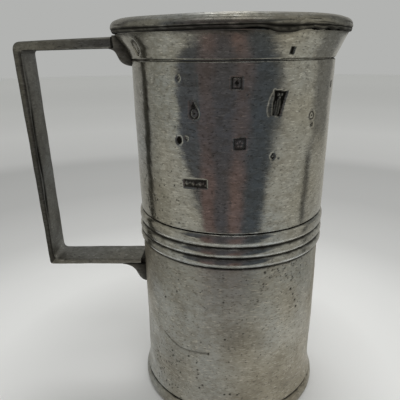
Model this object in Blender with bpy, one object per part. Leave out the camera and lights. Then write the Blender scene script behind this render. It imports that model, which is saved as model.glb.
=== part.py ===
"""Lidless cylindrical pewter wine measure with an angular strap handle.

Every turned piece shares the vessel's upright axis; the handle stands out towards -X.
Metres, +Z up. The origin is under the middle of the whole measure, on the surface it stands on.
"""
import math

import bmesh
import bpy

# ---------------------------------------------------------------- driving dimensions
SEGMENTS = 72            # sides of every turned piece
GAP = 0.0003             # clearance left between touching pieces
FACET_SAG = 0.0001       # a flat side of a turned piece lies this far inside its circle
SHARP_ANGLE = math.radians(32)

# heights above the surface the foot stands on
FOOT_TOP_Z = 0.0072      # joint line between foot ring and lower barrel
BARREL_LIP_Z = 0.0081    # lower barrel's widest line, just above that joint
BARREL_FLARE_Z = 0.0140  # the lower barrel starts to flare here
FLOOR_THICKNESS = 0.0025
MID_SEAM_Z = 0.0921      # the two barrels meet here, hidden by the girdle
GIRDLE_EDGES_Z = (0.0843, 0.0890, 0.0939, 0.1001)
COLLAR_Z = 0.1700        # incised line between upper barrel and collar
RIM_BOTTOM_Z = 0.1806
RIM_WIDEST_Z = 0.1830
RIM_TOP_Z = 0.1863
SPIGOT_TOP_Z = 0.1840    # top of the collar's spigot inside the rim

# outer radii
FOOT_R = 0.0467
FOOT_BULGE = 0.0012      # how far the foot falls back above and below its widest line
FOOT_BULGE_SKEW = 0.8    # twice the share of the foot's height that the widest line is at
FOOT_DRAFT = 0.0010      # the ring's inner face widens this much towards the bottom
LEDGE_WIDTH = 0.0014     # inner part of the ring's top that the floor plate rests on
BARREL_FOOT_R = 0.0455
BARREL_LOW_R = 0.0443
BARREL_MID_R = 0.0446
BARREL_UPPER_R = 0.0449
COLLAR_R = 0.0461
FLARE_R = 0.0520
FLARE_POWER = 1.25       # above 1 the flare turns outwards more towards the rim
SPIGOT_R = 0.0508
RIM_R = 0.0535
RIM_CREST_R = 0.0503     # the rim is highest here
RIM_INNER_CHAMFER = 0.0010
REED_HEIGHT = 0.0010
REED_GROOVE_R = 0.0447
JOINT_CHAMFER = 0.0006   # broken edge that makes a joint read as a line

# the bore widens a little towards the mouth
BORE_FLOOR_R = 0.0423
BORE_TOP_R = 0.0433
BORE_MOUTH_R = 0.0488
SKIRT_DEPTH = 0.0060     # collar's skirt inside the upper barrel
SKIRT_R = 0.0446
GIRDLE_SEAT_R = 0.0441   # outside of the barrels under the girdle
SEAM_THICKNESS = 0.0008  # solder left between two pieces
FILLET_LEG = 0.0016      # solder in the corner between floor and wall

# strap handle, as distances from the vessel's axis and heights
HANDLE_WIDTH = 0.01735
HANDLE_REACH = 0.1006
HANDLE_BEVEL = 0.0006
TOP_BAR_END_R = 0.0546
LOW_BAR_END_R = 0.0465   # the bottom bar runs right up to the wall
BAR_TOP = ((TOP_BAR_END_R, 0.1796), (HANDLE_REACH, 0.1779))
BAR_UNDER = ((TOP_BAR_END_R, 0.1747), (0.0967, 0.1740))
FOOT_BAR_TOP = ((LOW_BAR_END_R, 0.0700), (0.0934, 0.0686))
FOOT_BAR_UNDER = ((LOW_BAR_END_R, 0.0671), (0.0956, 0.0657))
CORNER_OUTER_TOP = 0.0040
CORNER_INNER_TOP = 0.0018
CORNER_INNER_LOW = 0.0030
CORNER_OUTER_LOW = 0.0012

# drip lugs: (drop below the bar's underside, distance of the face from the vessel's axis)
UPPER_LUG_DROPS = ((0.0003, 0.0558), (0.0009, 0.0538), (0.0019, 0.0530), (0.0032, 0.0524),
                   (0.0054, 0.0515), (0.0068, 0.0503), (0.0076, 0.0487), (0.0079, 0.0471))
LOWER_LUG_DROPS = ((0.0003, 0.0556), (0.0008, 0.0535), (0.0018, 0.0518), (0.0035, 0.0502),
                   (0.0065, 0.0489), (0.0095, 0.0478), (0.0113, 0.0467), (0.0121, 0.0455))
UPPER_LUG_FACE_R = 0.0535
UPPER_LUG_TOP_Z = 0.1802         # just under the rim
LUG_TIP_HALF_WIDTH = 0.0046
LUG_EDGE_ROUND = 0.0006
LUG_LEAST_THICKNESS = 0.0004
LOW_SOLDER_HALF_WIDTH = 0.0066   # the bottom bar's corners stay open beside its solder

# the vessel's axis stands off the origin, which lies under the middle of the whole
AXIS_X = (HANDLE_REACH - RIM_R) / 2

PEWTER = ((0.42, 0.41, 0.37, 1.0), 0.34)
DARK_PEWTER = ((0.30, 0.30, 0.28, 1.0), 0.42)
SOLDER = ((0.36, 0.36, 0.34, 1.0), 0.50)


# ---------------------------------------------------------------- helpers
def clear_scene():
    for item in list(bpy.data.objects):
        bpy.data.objects.remove(item, do_unlink=True)


def metal(name, look):
    """A plain metallic material of its own for one piece."""
    colour, roughness = look
    material = bpy.data.materials.new(name)
    material.use_nodes = True
    shader = material.node_tree.nodes["Principled BSDF"]
    shader.inputs["Base Color"].default_value = colour
    shader.inputs["Metallic"].default_value = 1.0
    shader.inputs["Roughness"].default_value = roughness
    return material


def finish_piece(name, bm, look, parent):
    """Turn a bmesh into a named object that faces outwards and is shaded smooth."""
    bmesh.ops.recalc_face_normals(bm, faces=bm.faces)
    mesh = bpy.data.meshes.new(name)
    bm.to_mesh(mesh)
    bm.free()
    mesh.shade_smooth()
    mesh.set_sharp_from_angle(angle=SHARP_ANGLE)
    piece = bpy.data.objects.new(name, mesh)
    piece.data.materials.append(metal(name, look))
    piece.parent = parent
    bpy.context.scene.collection.objects.link(piece)
    return piece


def turned(name, outline, look, parent):
    """Spin a closed (radius, height) outline about the vessel's axis into a ring."""
    bm = bmesh.new()
    corners = [bm.verts.new((radius, 0.0, height)) for radius, height in outline]
    edges = [bm.edges.new((corners[i - 1], corners[i])) for i in range(len(corners))]
    bmesh.ops.spin(bm, geom=corners + edges, cent=(0, 0, 0), axis=(0, 0, 1),
                   angle=math.tau, steps=SEGMENTS, use_merge=True)
    bmesh.ops.remove_doubles(bm, verts=bm.verts, dist=1e-6)
    return finish_piece(name, bm, look, parent)


def bore_radius(z):
    """Inner radius of the straight part of the bore at a height."""
    share = (z - FOOT_TOP_Z) / (COLLAR_Z - FOOT_TOP_Z)
    return BORE_FLOOR_R + share * (BORE_TOP_R - BORE_FLOOR_R)


def flare_radius(z):
    """Outer radius of the collar, a hollow curve from the incised line to the rim."""
    share = max(0.0, (z - COLLAR_Z) / (RIM_BOTTOM_Z - COLLAR_Z))
    return COLLAR_R + (FLARE_R - COLLAR_R) * share ** FLARE_POWER


def wall_radius(z):
    """Outer radius of the vessel's wall that the lugs are fitted to."""
    if z >= COLLAR_Z:
        return flare_radius(z)
    if z >= GIRDLE_EDGES_Z[3]:
        share = (z - GIRDLE_EDGES_Z[3]) / (COLLAR_Z - GIRDLE_EDGES_Z[3])
        return BARREL_UPPER_R + share * (COLLAR_R - BARREL_UPPER_R)
    share = z / GIRDLE_EDGES_Z[0]
    return BARREL_LOW_R + share * (BARREL_MID_R - BARREL_LOW_R)


def rounded_outline(corners, steps=6):
    """Round each (point, radius) corner of a closed outline with an arc."""
    outline = []
    count = len(corners)
    for i, (point, radius) in enumerate(corners):
        before = corners[i - 1][0]
        after = corners[(i + 1) % count][0]
        if radius == 0.0:
            outline.append(point)
            continue
        way_in = math.atan2(before[1] - point[1], before[0] - point[0])
        way_out = math.atan2(after[1] - point[1], after[0] - point[0])
        turn = (way_out - way_in + math.pi) % math.tau - math.pi
        reach = radius / math.tan(abs(turn) / 2)
        middle = way_in + turn / 2
        away = radius / math.sin(abs(turn) / 2)
        centre = (point[0] + away * math.cos(middle), point[1] + away * math.sin(middle))
        first = (point[0] + reach * math.cos(way_in), point[1] + reach * math.sin(way_in))
        last = (point[0] + reach * math.cos(way_out), point[1] + reach * math.sin(way_out))
        angle_first = math.atan2(first[1] - centre[1], first[0] - centre[0])
        angle_last = math.atan2(last[1] - centre[1], last[0] - centre[0])
        sweep = (angle_last - angle_first + math.pi) % math.tau - math.pi
        for step in range(steps + 1):
            angle = angle_first + sweep * step / steps
            outline.append((centre[0] + radius * math.cos(angle),
                            centre[1] + radius * math.sin(angle)))
    return outline


# ---------------------------------------------------------------- the turned vessel
def foot_ring(parent):
    """Bulging foot that carries the floor plate on its inner ledge."""
    inner_r = BORE_FLOOR_R - LEDGE_WIDTH
    top_z = FOOT_TOP_Z - GAP
    bulge_steps = 6
    outline = [(inner_r, top_z), (inner_r + FOOT_DRAFT, 0.0)]
    for step in range(bulge_steps + 1):
        share = step / bulge_steps
        fall = FOOT_BULGE * abs(2 * share - FOOT_BULGE_SKEW) ** 2.5
        outline.append((FOOT_R - fall, top_z * share))
    return turned("foot_ring", outline, PEWTER, parent)


def base_plate(parent):
    """Flat floor disc, a closed fan on each side joined by its edge."""
    bm = bmesh.new()
    bmesh.ops.create_cone(bm, cap_ends=True, cap_tris=True, segments=SEGMENTS,
                          radius1=BORE_FLOOR_R - GAP, radius2=BORE_FLOOR_R - GAP,
                          depth=FLOOR_THICKNESS)
    bmesh.ops.translate(bm, verts=bm.verts, vec=(0, 0, FOOT_TOP_Z + FLOOR_THICKNESS / 2))
    return finish_piece("base_plate", bm, DARK_PEWTER, parent)


def base_seam_solder(parent):
    """Fillet of solder in the corner between the floor and the lower barrel."""
    floor_z = FOOT_TOP_Z + FLOOR_THICKNESS + GAP
    wall_r = BORE_FLOOR_R - GAP
    hollow = 0.3 * FILLET_LEG
    outline = [
        (wall_r, floor_z),
        (wall_r, floor_z + FILLET_LEG),
        (wall_r - hollow, floor_z + hollow),
        (wall_r - FILLET_LEG, floor_z),
    ]
    return turned("base_seam_solder", outline, SOLDER, parent)


def lower_barrel(parent):
    """Lower half of the body, from the foot joint up to the seam in the girdle."""
    top_z = MID_SEAM_Z - SEAM_THICKNESS / 2 - GAP
    girdle_z = GIRDLE_EDGES_Z[0] - GAP
    flare_steps = 4
    outline = [
        (GIRDLE_SEAT_R, top_z),
        (GIRDLE_SEAT_R, girdle_z),
        (BARREL_MID_R, girdle_z),
    ]
    for step in range(flare_steps + 1):
        share = step / flare_steps
        radius = BARREL_LOW_R + (BARREL_FOOT_R - BARREL_LOW_R) * share ** 2
        outline.append((radius, BARREL_FLARE_Z + (BARREL_LIP_Z - BARREL_FLARE_Z) * share))
    outline += [
        (BARREL_FOOT_R - JOINT_CHAMFER, FOOT_TOP_Z),
        (BORE_FLOOR_R, FOOT_TOP_Z),
        (bore_radius(top_z), top_z),
    ]
    return turned("lower_barrel", outline, PEWTER, parent)


def mid_seam_solder(parent):
    """Ring of solder that joins the two barrels under the girdle."""
    half = SEAM_THICKNESS / 2
    inner_r = bore_radius(MID_SEAM_Z)
    outline = [
        (GIRDLE_SEAT_R, MID_SEAM_Z + half),
        (GIRDLE_SEAT_R, MID_SEAM_Z - half),
        (inner_r, MID_SEAM_Z - half),
        (inner_r, MID_SEAM_Z + half),
    ]
    return turned("mid_seam_solder", outline, SOLDER, parent)


def girdle(parent):
    """Three turned reeds on a ring slipped over the seam of the barrels."""
    crest_steps = 6
    outer = []
    for low, high in reversed(list(zip(GIRDLE_EDGES_Z[:-1], GIRDLE_EDGES_Z[1:]))):
        for step in range(crest_steps + 1):
            share = step / crest_steps
            height = high + (low - high) * share
            swell = math.sin(math.pi * share) ** 0.6
            point = (REED_GROOVE_R + REED_HEIGHT * swell, height)
            if not outer or abs(outer[-1][1] - height) > GAP / 10:
                outer.append(point)
    inner_r = GIRDLE_SEAT_R + GAP
    outline = outer + [(inner_r, GIRDLE_EDGES_Z[0]), (inner_r, GIRDLE_EDGES_Z[-1])]
    return turned("girdle", outline, PEWTER, parent)


def upper_barrel(parent):
    """Upper half of the body, with a socket at its top for the collar's skirt."""
    bottom_z = MID_SEAM_Z + SEAM_THICKNESS / 2 + GAP
    girdle_z = GIRDLE_EDGES_Z[-1] + GAP
    socket_z = COLLAR_Z - SKIRT_DEPTH - GAP
    top_z = COLLAR_Z - GAP / 2
    outline = [
        (COLLAR_R, top_z),
        (BARREL_UPPER_R, girdle_z),
        (GIRDLE_SEAT_R, girdle_z),
        (GIRDLE_SEAT_R, bottom_z),
        (bore_radius(bottom_z), bottom_z),
        (bore_radius(socket_z), socket_z),
        (SKIRT_R + GAP, socket_z),
        (SKIRT_R + GAP, top_z),
    ]
    return turned("upper_barrel", outline, PEWTER, parent)


def lip_collar(parent):
    """Flared collar, skirted below and stepped above to carry the rim."""
    bottom_z = COLLAR_Z + GAP / 2
    flare_steps = 6
    flare = []
    for step in range(flare_steps + 1):
        z = RIM_BOTTOM_Z - GAP + (bottom_z - RIM_BOTTOM_Z + GAP) * step / flare_steps
        flare.append((flare_radius(z), z))
    skirt_z = COLLAR_Z - SKIRT_DEPTH
    outline = [(SPIGOT_R, SPIGOT_TOP_Z), (SPIGOT_R, RIM_BOTTOM_Z - GAP)]
    outline += flare
    outline += [(SKIRT_R, bottom_z), (SKIRT_R, skirt_z), (bore_radius(skirt_z), skirt_z)]
    mouth_steps = 4
    for step in range(mouth_steps + 1):
        share = step / mouth_steps
        radius = BORE_TOP_R + (BORE_MOUTH_R - GAP - BORE_TOP_R) * share ** FLARE_POWER
        outline.append((radius, COLLAR_Z + (SPIGOT_TOP_Z - COLLAR_Z) * share))
    return turned("lip_collar", outline, PEWTER, parent)


def rim_moulding(parent):
    """Thick rounded bead that caps the collar's spigot and overhangs the flare."""
    outline = [
        (BORE_MOUTH_R, RIM_TOP_Z - RIM_INNER_CHAMFER),
        (BORE_MOUTH_R, SPIGOT_TOP_Z + GAP),
        (SPIGOT_R + GAP, SPIGOT_TOP_Z + GAP),
        (SPIGOT_R + GAP, RIM_BOTTOM_Z),
    ]
    face_steps = 4
    for step in range(face_steps + 1):
        angle = math.pi / 2 * (step / face_steps - 1)
        outline.append((FLARE_R + (RIM_R - FLARE_R) * math.cos(angle),
                        RIM_WIDEST_Z + (RIM_WIDEST_Z - RIM_BOTTOM_Z) * math.sin(angle)))
    for step in range(1, face_steps + 1):
        angle = math.pi / 2 * step / face_steps
        outline.append((RIM_CREST_R + (RIM_R - RIM_CREST_R) * math.cos(angle),
                        RIM_WIDEST_Z + (RIM_TOP_Z - RIM_WIDEST_Z) * math.sin(angle)))
    return turned("rim_moulding", outline, PEWTER, parent)


# ---------------------------------------------------------------- the strap handle
def handle_strap(parent):
    """One bent strap: top bar, sloping grip and level bottom bar."""
    outline = rounded_outline([
        (BAR_TOP[0], 0.0),
        (BAR_TOP[1], CORNER_OUTER_TOP),
        (FOOT_BAR_UNDER[1], CORNER_OUTER_LOW),
        (FOOT_BAR_UNDER[0], 0.0),
        (FOOT_BAR_TOP[0], 0.0),
        (FOOT_BAR_TOP[1], CORNER_INNER_LOW),
        (BAR_UNDER[1], CORNER_INNER_TOP),
        (BAR_UNDER[0], 0.0),
    ])
    bm = bmesh.new()
    half = HANDLE_WIDTH / 2
    side = bm.faces.new([bm.verts.new((-r, -half, z)) for r, z in outline])
    extruded = bmesh.ops.extrude_face_region(bm, geom=[side])
    moved = [item for item in extruded["geom"] if isinstance(item, bmesh.types.BMVert)]
    bmesh.ops.translate(bm, verts=moved, vec=(0, HANDLE_WIDTH, 0))
    bm.normal_update()
    long_edges = [edge for edge in bm.edges
                  if abs(edge.verts[0].co.y - edge.verts[1].co.y) < GAP]
    bmesh.ops.bevel(bm, geom=long_edges, offset=HANDLE_BEVEL, segments=2, profile=0.5,
                    affect="EDGES", clamp_overlap=True)
    return finish_piece("handle_strap", bm, DARK_PEWTER, parent)


def lug_levels(under_z, drops):
    """(height, face radius, half width) down a lug; it narrows to a rounded tip."""
    half = HANDLE_WIDTH / 2
    deepest = drops[-1][0]
    levels = []
    for drop, face_r in drops:
        share = drop / deepest
        levels.append((under_z - drop, face_r, half + (LUG_TIP_HALF_WIDTH - half) * share ** 4))
    return levels


def lug(name, parent, levels):
    """A drip-shaped pad fitted to the wall, given by its levels from the top down."""
    across = 8
    wall_gap = GAP + FACET_SAG
    bm = bmesh.new()
    rings = []
    for z, face_r, half in levels:
        inner = wall_radius(z) + wall_gap
        ring = []
        for step in range(across + 1):
            y = half * (2 * step / across - 1)
            ring.append(bm.verts.new((-math.sqrt(inner ** 2 - y ** 2), y, z)))
        for step in range(across + 1):
            y = half * (1 - 2 * step / across)
            rounded_off = LUG_EDGE_ROUND * abs(y / half) ** 6
            front = max(face_r - rounded_off, inner + LUG_LEAST_THICKNESS)
            ring.append(bm.verts.new((-front, y, z)))
        rings.append(ring)
    for upper, lower in zip(rings[:-1], rings[1:]):
        for i in range(len(upper)):
            bm.faces.new((upper[i - 1], upper[i], lower[i], lower[i - 1]))
    bm.faces.new(rings[0])
    bm.faces.new(rings[-1])
    bmesh.ops.triangulate(bm, faces=bm.faces)
    return finish_piece(name, bm, DARK_PEWTER, parent)


def upper_lug(parent):
    """Block behind the top bar's end that runs down into a drip."""
    under_z = BAR_UNDER[0][1]
    half = HANDLE_WIDTH / 2
    block = [(UPPER_LUG_TOP_Z, UPPER_LUG_FACE_R, half), (under_z, UPPER_LUG_FACE_R, half)]
    return lug("upper_lug", parent, block + lug_levels(under_z, UPPER_LUG_DROPS))


def lower_lug(parent):
    """Drip under the bottom bar, where that bar meets the wall."""
    return lug("lower_lug", parent, lug_levels(FOOT_BAR_UNDER[0][1], LOWER_LUG_DROPS))


def upper_bar_solder(parent):
    """Thin plate of solder between the end of the top bar and its lug."""
    under_z, top_z = BAR_UNDER[0][1], BAR_TOP[0][1]
    depth = TOP_BAR_END_R - UPPER_LUG_FACE_R - 2 * GAP
    bm = bmesh.new()
    bmesh.ops.create_cube(bm, size=1.0)
    bmesh.ops.scale(bm, verts=bm.verts,
                    vec=(depth, HANDLE_WIDTH - 2 * HANDLE_BEVEL, top_z - under_z))
    bmesh.ops.translate(bm, verts=bm.verts,
                        vec=(-(UPPER_LUG_FACE_R + TOP_BAR_END_R) / 2, 0, (top_z + under_z) / 2))
    return finish_piece("upper_bar_solder", bm, SOLDER, parent)


def lower_bar_solder(parent):
    """Solder between the square end of the bottom bar and the round wall."""
    across = 6
    bm = bmesh.new()
    rings = []
    for z in (FOOT_BAR_UNDER[0][1], FOOT_BAR_TOP[0][1]):
        inner = wall_radius(z) + GAP + FACET_SAG
        outer = LOW_BAR_END_R - GAP
        widths = [LOW_SOLDER_HALF_WIDTH * (2 * step / across - 1) for step in range(across + 1)]
        ring = [bm.verts.new((-math.sqrt(inner ** 2 - y ** 2), y, z)) for y in widths]
        ring += [bm.verts.new((-outer, y, z)) for y in reversed(widths)]
        rings.append(ring)
    for i in range(len(rings[0])):
        bm.faces.new((rings[0][i - 1], rings[0][i], rings[1][i], rings[1][i - 1]))
    bm.faces.new(rings[0])
    bm.faces.new(rings[1])
    bmesh.ops.triangulate(bm, faces=bm.faces)
    return finish_piece("lower_bar_solder", bm, SOLDER, parent)


# ---------------------------------------------------------------- the whole measure
def build():
    clear_scene()
    axis = bpy.data.objects.new("vessel_axis", None)
    axis.location = (AXIS_X, 0, 0)
    bpy.context.scene.collection.objects.link(axis)

    foot_ring(axis)
    base_plate(axis)
    base_seam_solder(axis)
    lower_barrel(axis)
    mid_seam_solder(axis)
    girdle(axis)
    upper_barrel(axis)
    lip_collar(axis)
    rim_moulding(axis)

    handle_strap(axis)
    upper_lug(axis)
    lower_lug(axis)
    upper_bar_solder(axis)
    lower_bar_solder(axis)
    bpy.context.view_layer.update()


build()
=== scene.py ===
"""Finished look of a lidless pewter wine measure: turned and punched body, soldered strap handle.

Metres, +Z up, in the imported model's frame. The vessel's axis is upright and the handle is at -X.
"""
import math

import bmesh
import bpy
import numpy as np
from mathutils import Matrix, Vector


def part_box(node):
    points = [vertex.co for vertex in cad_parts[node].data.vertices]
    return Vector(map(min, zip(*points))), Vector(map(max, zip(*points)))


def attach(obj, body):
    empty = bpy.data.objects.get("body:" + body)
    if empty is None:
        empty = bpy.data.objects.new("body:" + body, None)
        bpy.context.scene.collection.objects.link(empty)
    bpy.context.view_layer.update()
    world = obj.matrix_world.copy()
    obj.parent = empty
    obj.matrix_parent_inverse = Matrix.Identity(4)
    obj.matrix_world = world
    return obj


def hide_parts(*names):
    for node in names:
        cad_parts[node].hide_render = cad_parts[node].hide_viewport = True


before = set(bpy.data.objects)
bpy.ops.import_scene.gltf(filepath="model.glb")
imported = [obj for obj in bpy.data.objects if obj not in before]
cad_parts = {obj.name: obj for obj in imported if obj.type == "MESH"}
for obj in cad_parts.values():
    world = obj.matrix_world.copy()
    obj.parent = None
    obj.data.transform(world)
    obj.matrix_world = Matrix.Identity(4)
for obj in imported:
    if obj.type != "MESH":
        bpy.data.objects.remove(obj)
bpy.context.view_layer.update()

# ---------------------------------------------------------------- sizes, read from the model
MM = 0.001
SEED = 7
GAP = 0.3 * MM               # left between two pieces that touch


def spans(node):
    """(lowest, highest) corner of a node as plain vectors."""
    low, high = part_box(node)
    return Vector(low), Vector(high)


def outer_radius(node):
    """Half the width of a node that is centred on the vessel's axis."""
    low, high = spans(node)
    return (high.y - low.y) / 2


AXIS_X = (spans("rim_moulding")[0].x + spans("rim_moulding")[1].x) / 2
RIM_BOTTOM, RIM_TOP = spans("rim_moulding")[0].z, spans("rim_moulding")[1].z
RIM_R = outer_radius("rim_moulding")
LINE_Z = spans("upper_barrel")[1].z + GAP / 2          # incised line between barrel and collar
GIRDLE_LOW, GIRDLE_HIGH = spans("girdle")[0].z, spans("girdle")[1].z
FOOT_R = outer_radius("foot_ring")
FOOT_TOP = spans("foot_ring")[1].z
BARREL_BOTTOM = spans("lower_barrel")[0].z
LOWER_TOP = spans("lower_barrel")[1].z
UPPER_BOTTOM = spans("upper_barrel")[0].z
FLOOR_LOW, FLOOR_HIGH = spans("base_plate")[0].z, spans("base_plate")[1].z
FLOOR_R = outer_radius("base_plate")
COLLAR_BOTTOM, COLLAR_TOP = spans("lip_collar")[0].z, spans("lip_collar")[1].z
HANDLE_HALF = outer_radius("handle_strap")
HANDLE_REACH = AXIS_X - spans("handle_strap")[0].x

LINE_R = outer_radius("upper_barrel")
GIRDLE_TOP_R = 44.9 * MM     # the wall just over the girdle
GIRDLE_FOOT_R = 44.6 * MM    # and just under it
SEAT_R = 44.1 * MM           # the barrels' outside under the girdle
LOW_R = 44.3 * MM            # the lower wall carried down to the ground
FLARE_R, FLARE_POWER = 52.0 * MM, 1.25
SPIGOT_R = 50.8 * MM         # the collar's top, where it goes up inside the rim
SKIRT_R = 44.6 * MM          # the collar's hidden skirt, inside the upper barrel
BORE_LOW, BORE_HIGH, BORE_MOUTH = 42.3 * MM, 43.3 * MM, 48.8 * MM
REED_EDGES = (GIRDLE_LOW, 89.0 * MM, 93.9 * MM, GIRDLE_HIGH)
MOUTH_LEAN = 1.25 * MM       # the mouth has been knocked this far towards the handle
MOUTH_SQUEEZE = 2.2 * MM     # and its front and back pushed this far inwards


def bore_radius(z):
    """Inside of the two barrels at a height."""
    share = (z - BARREL_BOTTOM) / (LINE_Z - BARREL_BOTTOM)
    return BORE_LOW + share * (BORE_HIGH - BORE_LOW)


def flare_radius(z):
    """Outside of the flared lip at a height."""
    share = max(0.0, (z - LINE_Z) / (RIM_BOTTOM - LINE_Z))
    return LINE_R + (FLARE_R - LINE_R) * share ** FLARE_POWER


def wall_radius(z):
    """Outside of the vessel at a height, girdle left out."""
    if z >= LINE_Z:
        return flare_radius(z)
    if z >= GIRDLE_HIGH:
        share = (z - GIRDLE_HIGH) / (LINE_Z - GIRDLE_HIGH)
        return GIRDLE_TOP_R + share * (LINE_R - GIRDLE_TOP_R)
    return LOW_R + (GIRDLE_FOOT_R - LOW_R) * z / GIRDLE_LOW


# ---------------------------------------------------------------- outlines of turned pieces
def densify(points, step):
    """Points along a closed outline, no further apart than step."""
    fine = []
    for start, end in zip(points, points[1:] + points[:1]):
        length = math.hypot(end[0] - start[0], end[1] - start[1])
        count = max(1, math.ceil(length / step))
        for i in range(count):
            share = i / count
            fine.append((start[0] + (end[0] - start[0]) * share,
                         start[1] + (end[1] - start[1]) * share))
    return fine


def arc_points(centre, radius, start, end, count):
    """Points on an arc, angles in degrees, in the (radius, height) plane."""
    points = []
    for i in range(count + 1):
        angle = math.radians(start + (end - start) * i / count)
        points.append((centre[0] + radius * math.cos(angle),
                       centre[1] + radius * math.sin(angle)))
    return points


# reeds: radius of the grooves between them, how far they swell, steps down each
GROOVE_R, REED_SWELL, REED_STEPS = 44.45 * MM, 1.35 * MM, 18
REED_POWER = 0.7             # under 1, so that a reed is flatter than a half round
GIRDLE_EDGE_R = 44.5 * MM
# the top reed has a worn, sloping shoulder: share of its height, share of its swell
CHAMFER_PLACES = (0.0, 0.03, 0.19, 0.30, 0.50)
CHAMFER_SWELL = (0.0, 0.33, 0.85, 0.96, 1.0)


def reed_outline():
    """Three reeds, from the top groove down, each a flattened half round."""
    points = []
    for low, high in reversed(list(zip(REED_EDGES[:-1], REED_EDGES[1:]))):
        for i in range(REED_STEPS):
            share = (i + 0.5) / REED_STEPS
            swell = math.sin(math.pi * share) ** REED_POWER
            if high == GIRDLE_HIGH and share < 0.5:
                swell = float(np.interp(share, CHAMFER_PLACES, CHAMFER_SWELL))
            points.append((GROOVE_R + REED_SWELL * swell, high + (low - high) * share))
    return points


def girdle_section():
    """Reeded outside over a plain bore that clears the barrels' seat."""
    inner = SEAT_R + GAP
    outside = [(GIRDLE_EDGE_R, GIRDLE_HIGH)] + reed_outline() + [(GIRDLE_EDGE_R, GIRDLE_LOW)]
    return outside + densify([(inner, GIRDLE_LOW), (inner, GIRDLE_HIGH)], 4 * MM)[:5]


FOOT_LEDGE = 1.4 * MM        # the foot's inside stands this far in from the bore
FOOT_BULGE = 1.2 * MM        # how far the foot falls back from its widest line
FOOT_BULGE_PLACE = 0.8       # twice the share of the foot's height that this line is at


def foot_section():
    """Bulging ring foot with a soft edge, hollow inside."""
    inner = BORE_LOW - FOOT_LEDGE
    sole = [(inner, FOOT_TOP), (inner + 1.0 * MM, 0.4 * MM), (inner + 1.4 * MM, 0.0),
            (FOOT_R - 1.4 * MM, 0.0)]
    bulge = []
    steps = 24
    for i in range(1, steps + 1):
        share = i / steps
        fall = FOOT_BULGE * abs(2 * share - FOOT_BULGE_PLACE) ** 2.5
        bulge.append((FOOT_R - fall, FOOT_TOP * share))
    return sole + bulge


RIM_WIDEST = RIM_BOTTOM + 2.4 * MM
RIM_CREST_R = 50.3 * MM      # the slanted upper face starts here
RIM_LIP = 1.05 * MM          # rounding of the rim's inner edge
# groove under the widest line: (in from the rim's edge, down from the line), in mm
RIM_GROOVE = ((0.06, 0.45), (0.34, 0.80), (0.30, 1.10), (0.34, 1.45))


def rim_section():
    """Thick bead: slanted upper face, upright band, soft groove and an undercut."""
    socket_r, socket_top = SPIGOT_R + GAP, COLLAR_TOP + GAP
    inside = [(socket_r, RIM_BOTTOM), (socket_r, socket_top),
              (BORE_MOUTH, socket_top), (BORE_MOUTH, RIM_TOP - 1.1 * MM)]
    lip = arc_points((BORE_MOUTH + 1.1 * MM, RIM_TOP - 1.0 * MM), RIM_LIP, 165, 62, 8)
    face = []
    steps = 12
    for i in range(1, steps + 1):
        angle = math.pi / 2 * (1 - i / steps)
        face.append((RIM_CREST_R + (RIM_R - RIM_CREST_R) * math.cos(angle) ** 0.92,
                     RIM_WIDEST + (RIM_TOP - 0.25 * MM - RIM_WIDEST) * math.sin(angle) ** 1.05))
    groove = [(RIM_R - inwards * MM, RIM_WIDEST - down * MM) for inwards, down in RIM_GROOVE]
    under = arc_points((RIM_R - 1.3 * MM, RIM_BOTTOM + 0.85 * MM), 0.85 * MM, -5, -95, 6)
    return inside + lip + face + groove + under


FLOOR_DISH, UNDER_DISH = 0.35 * MM, 0.25 * MM
TURNING_DEPTH, TURNING_RATE = 0.03 * MM, 2400          # rings left by the tool on the floor


def floor_section():
    """Floor plate, slightly dished and ringed by the turning tool; its middle closes to a point."""
    top, under = [], []
    steps = 40
    for i in range(steps + 1):
        radius = FLOOR_R * i / steps
        ring = TURNING_DEPTH * math.sin(radius * TURNING_RATE)
        dish = FLOOR_DISH * (1 - (radius / FLOOR_R) ** 2)
        radius = max(radius, 0.01 * MM)
        top.append((radius, FLOOR_HIGH - dish + ring))
        under.append((radius, FLOOR_LOW + UNDER_DISH * (1 - (radius / FLOOR_R) ** 2)))
    return under + top[::-1]


def fillet_section():
    """Hollow fillet of solder in the corner between floor and wall."""
    low, high = spans("base_seam_solder")
    radius, height = (high.y - low.y) / 2, high.z - low.z
    hollow = []
    steps = 8
    for i in range(steps + 1):
        turn = math.pi / 2 * i / steps
        hollow.append((radius - height * (1 - math.cos(turn)) * 0.9 - 0.1 * MM,
                       high.z - height * math.sin(turn)))
    return hollow + [(radius, low.z), (radius, high.z)]


# ---------------------------------------------------------------- turned rings by rule
def set_curve(node, values):
    """Loads evenly spaced values from 0 to 1 into a Float Curve node."""
    curve = node.mapping.curves[0]
    while len(curve.points) > 2:
        curve.points.remove(curve.points[1])
    last = len(values) - 1
    for i, value in enumerate(values):
        if i in (0, last):
            point = curve.points[0 if i == 0 else -1]
            point.location = (i / last, value)
        else:
            point = curve.points.new(i / last, value)
        point.handle_type = "VECTOR"
    node.mapping.update()


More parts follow.
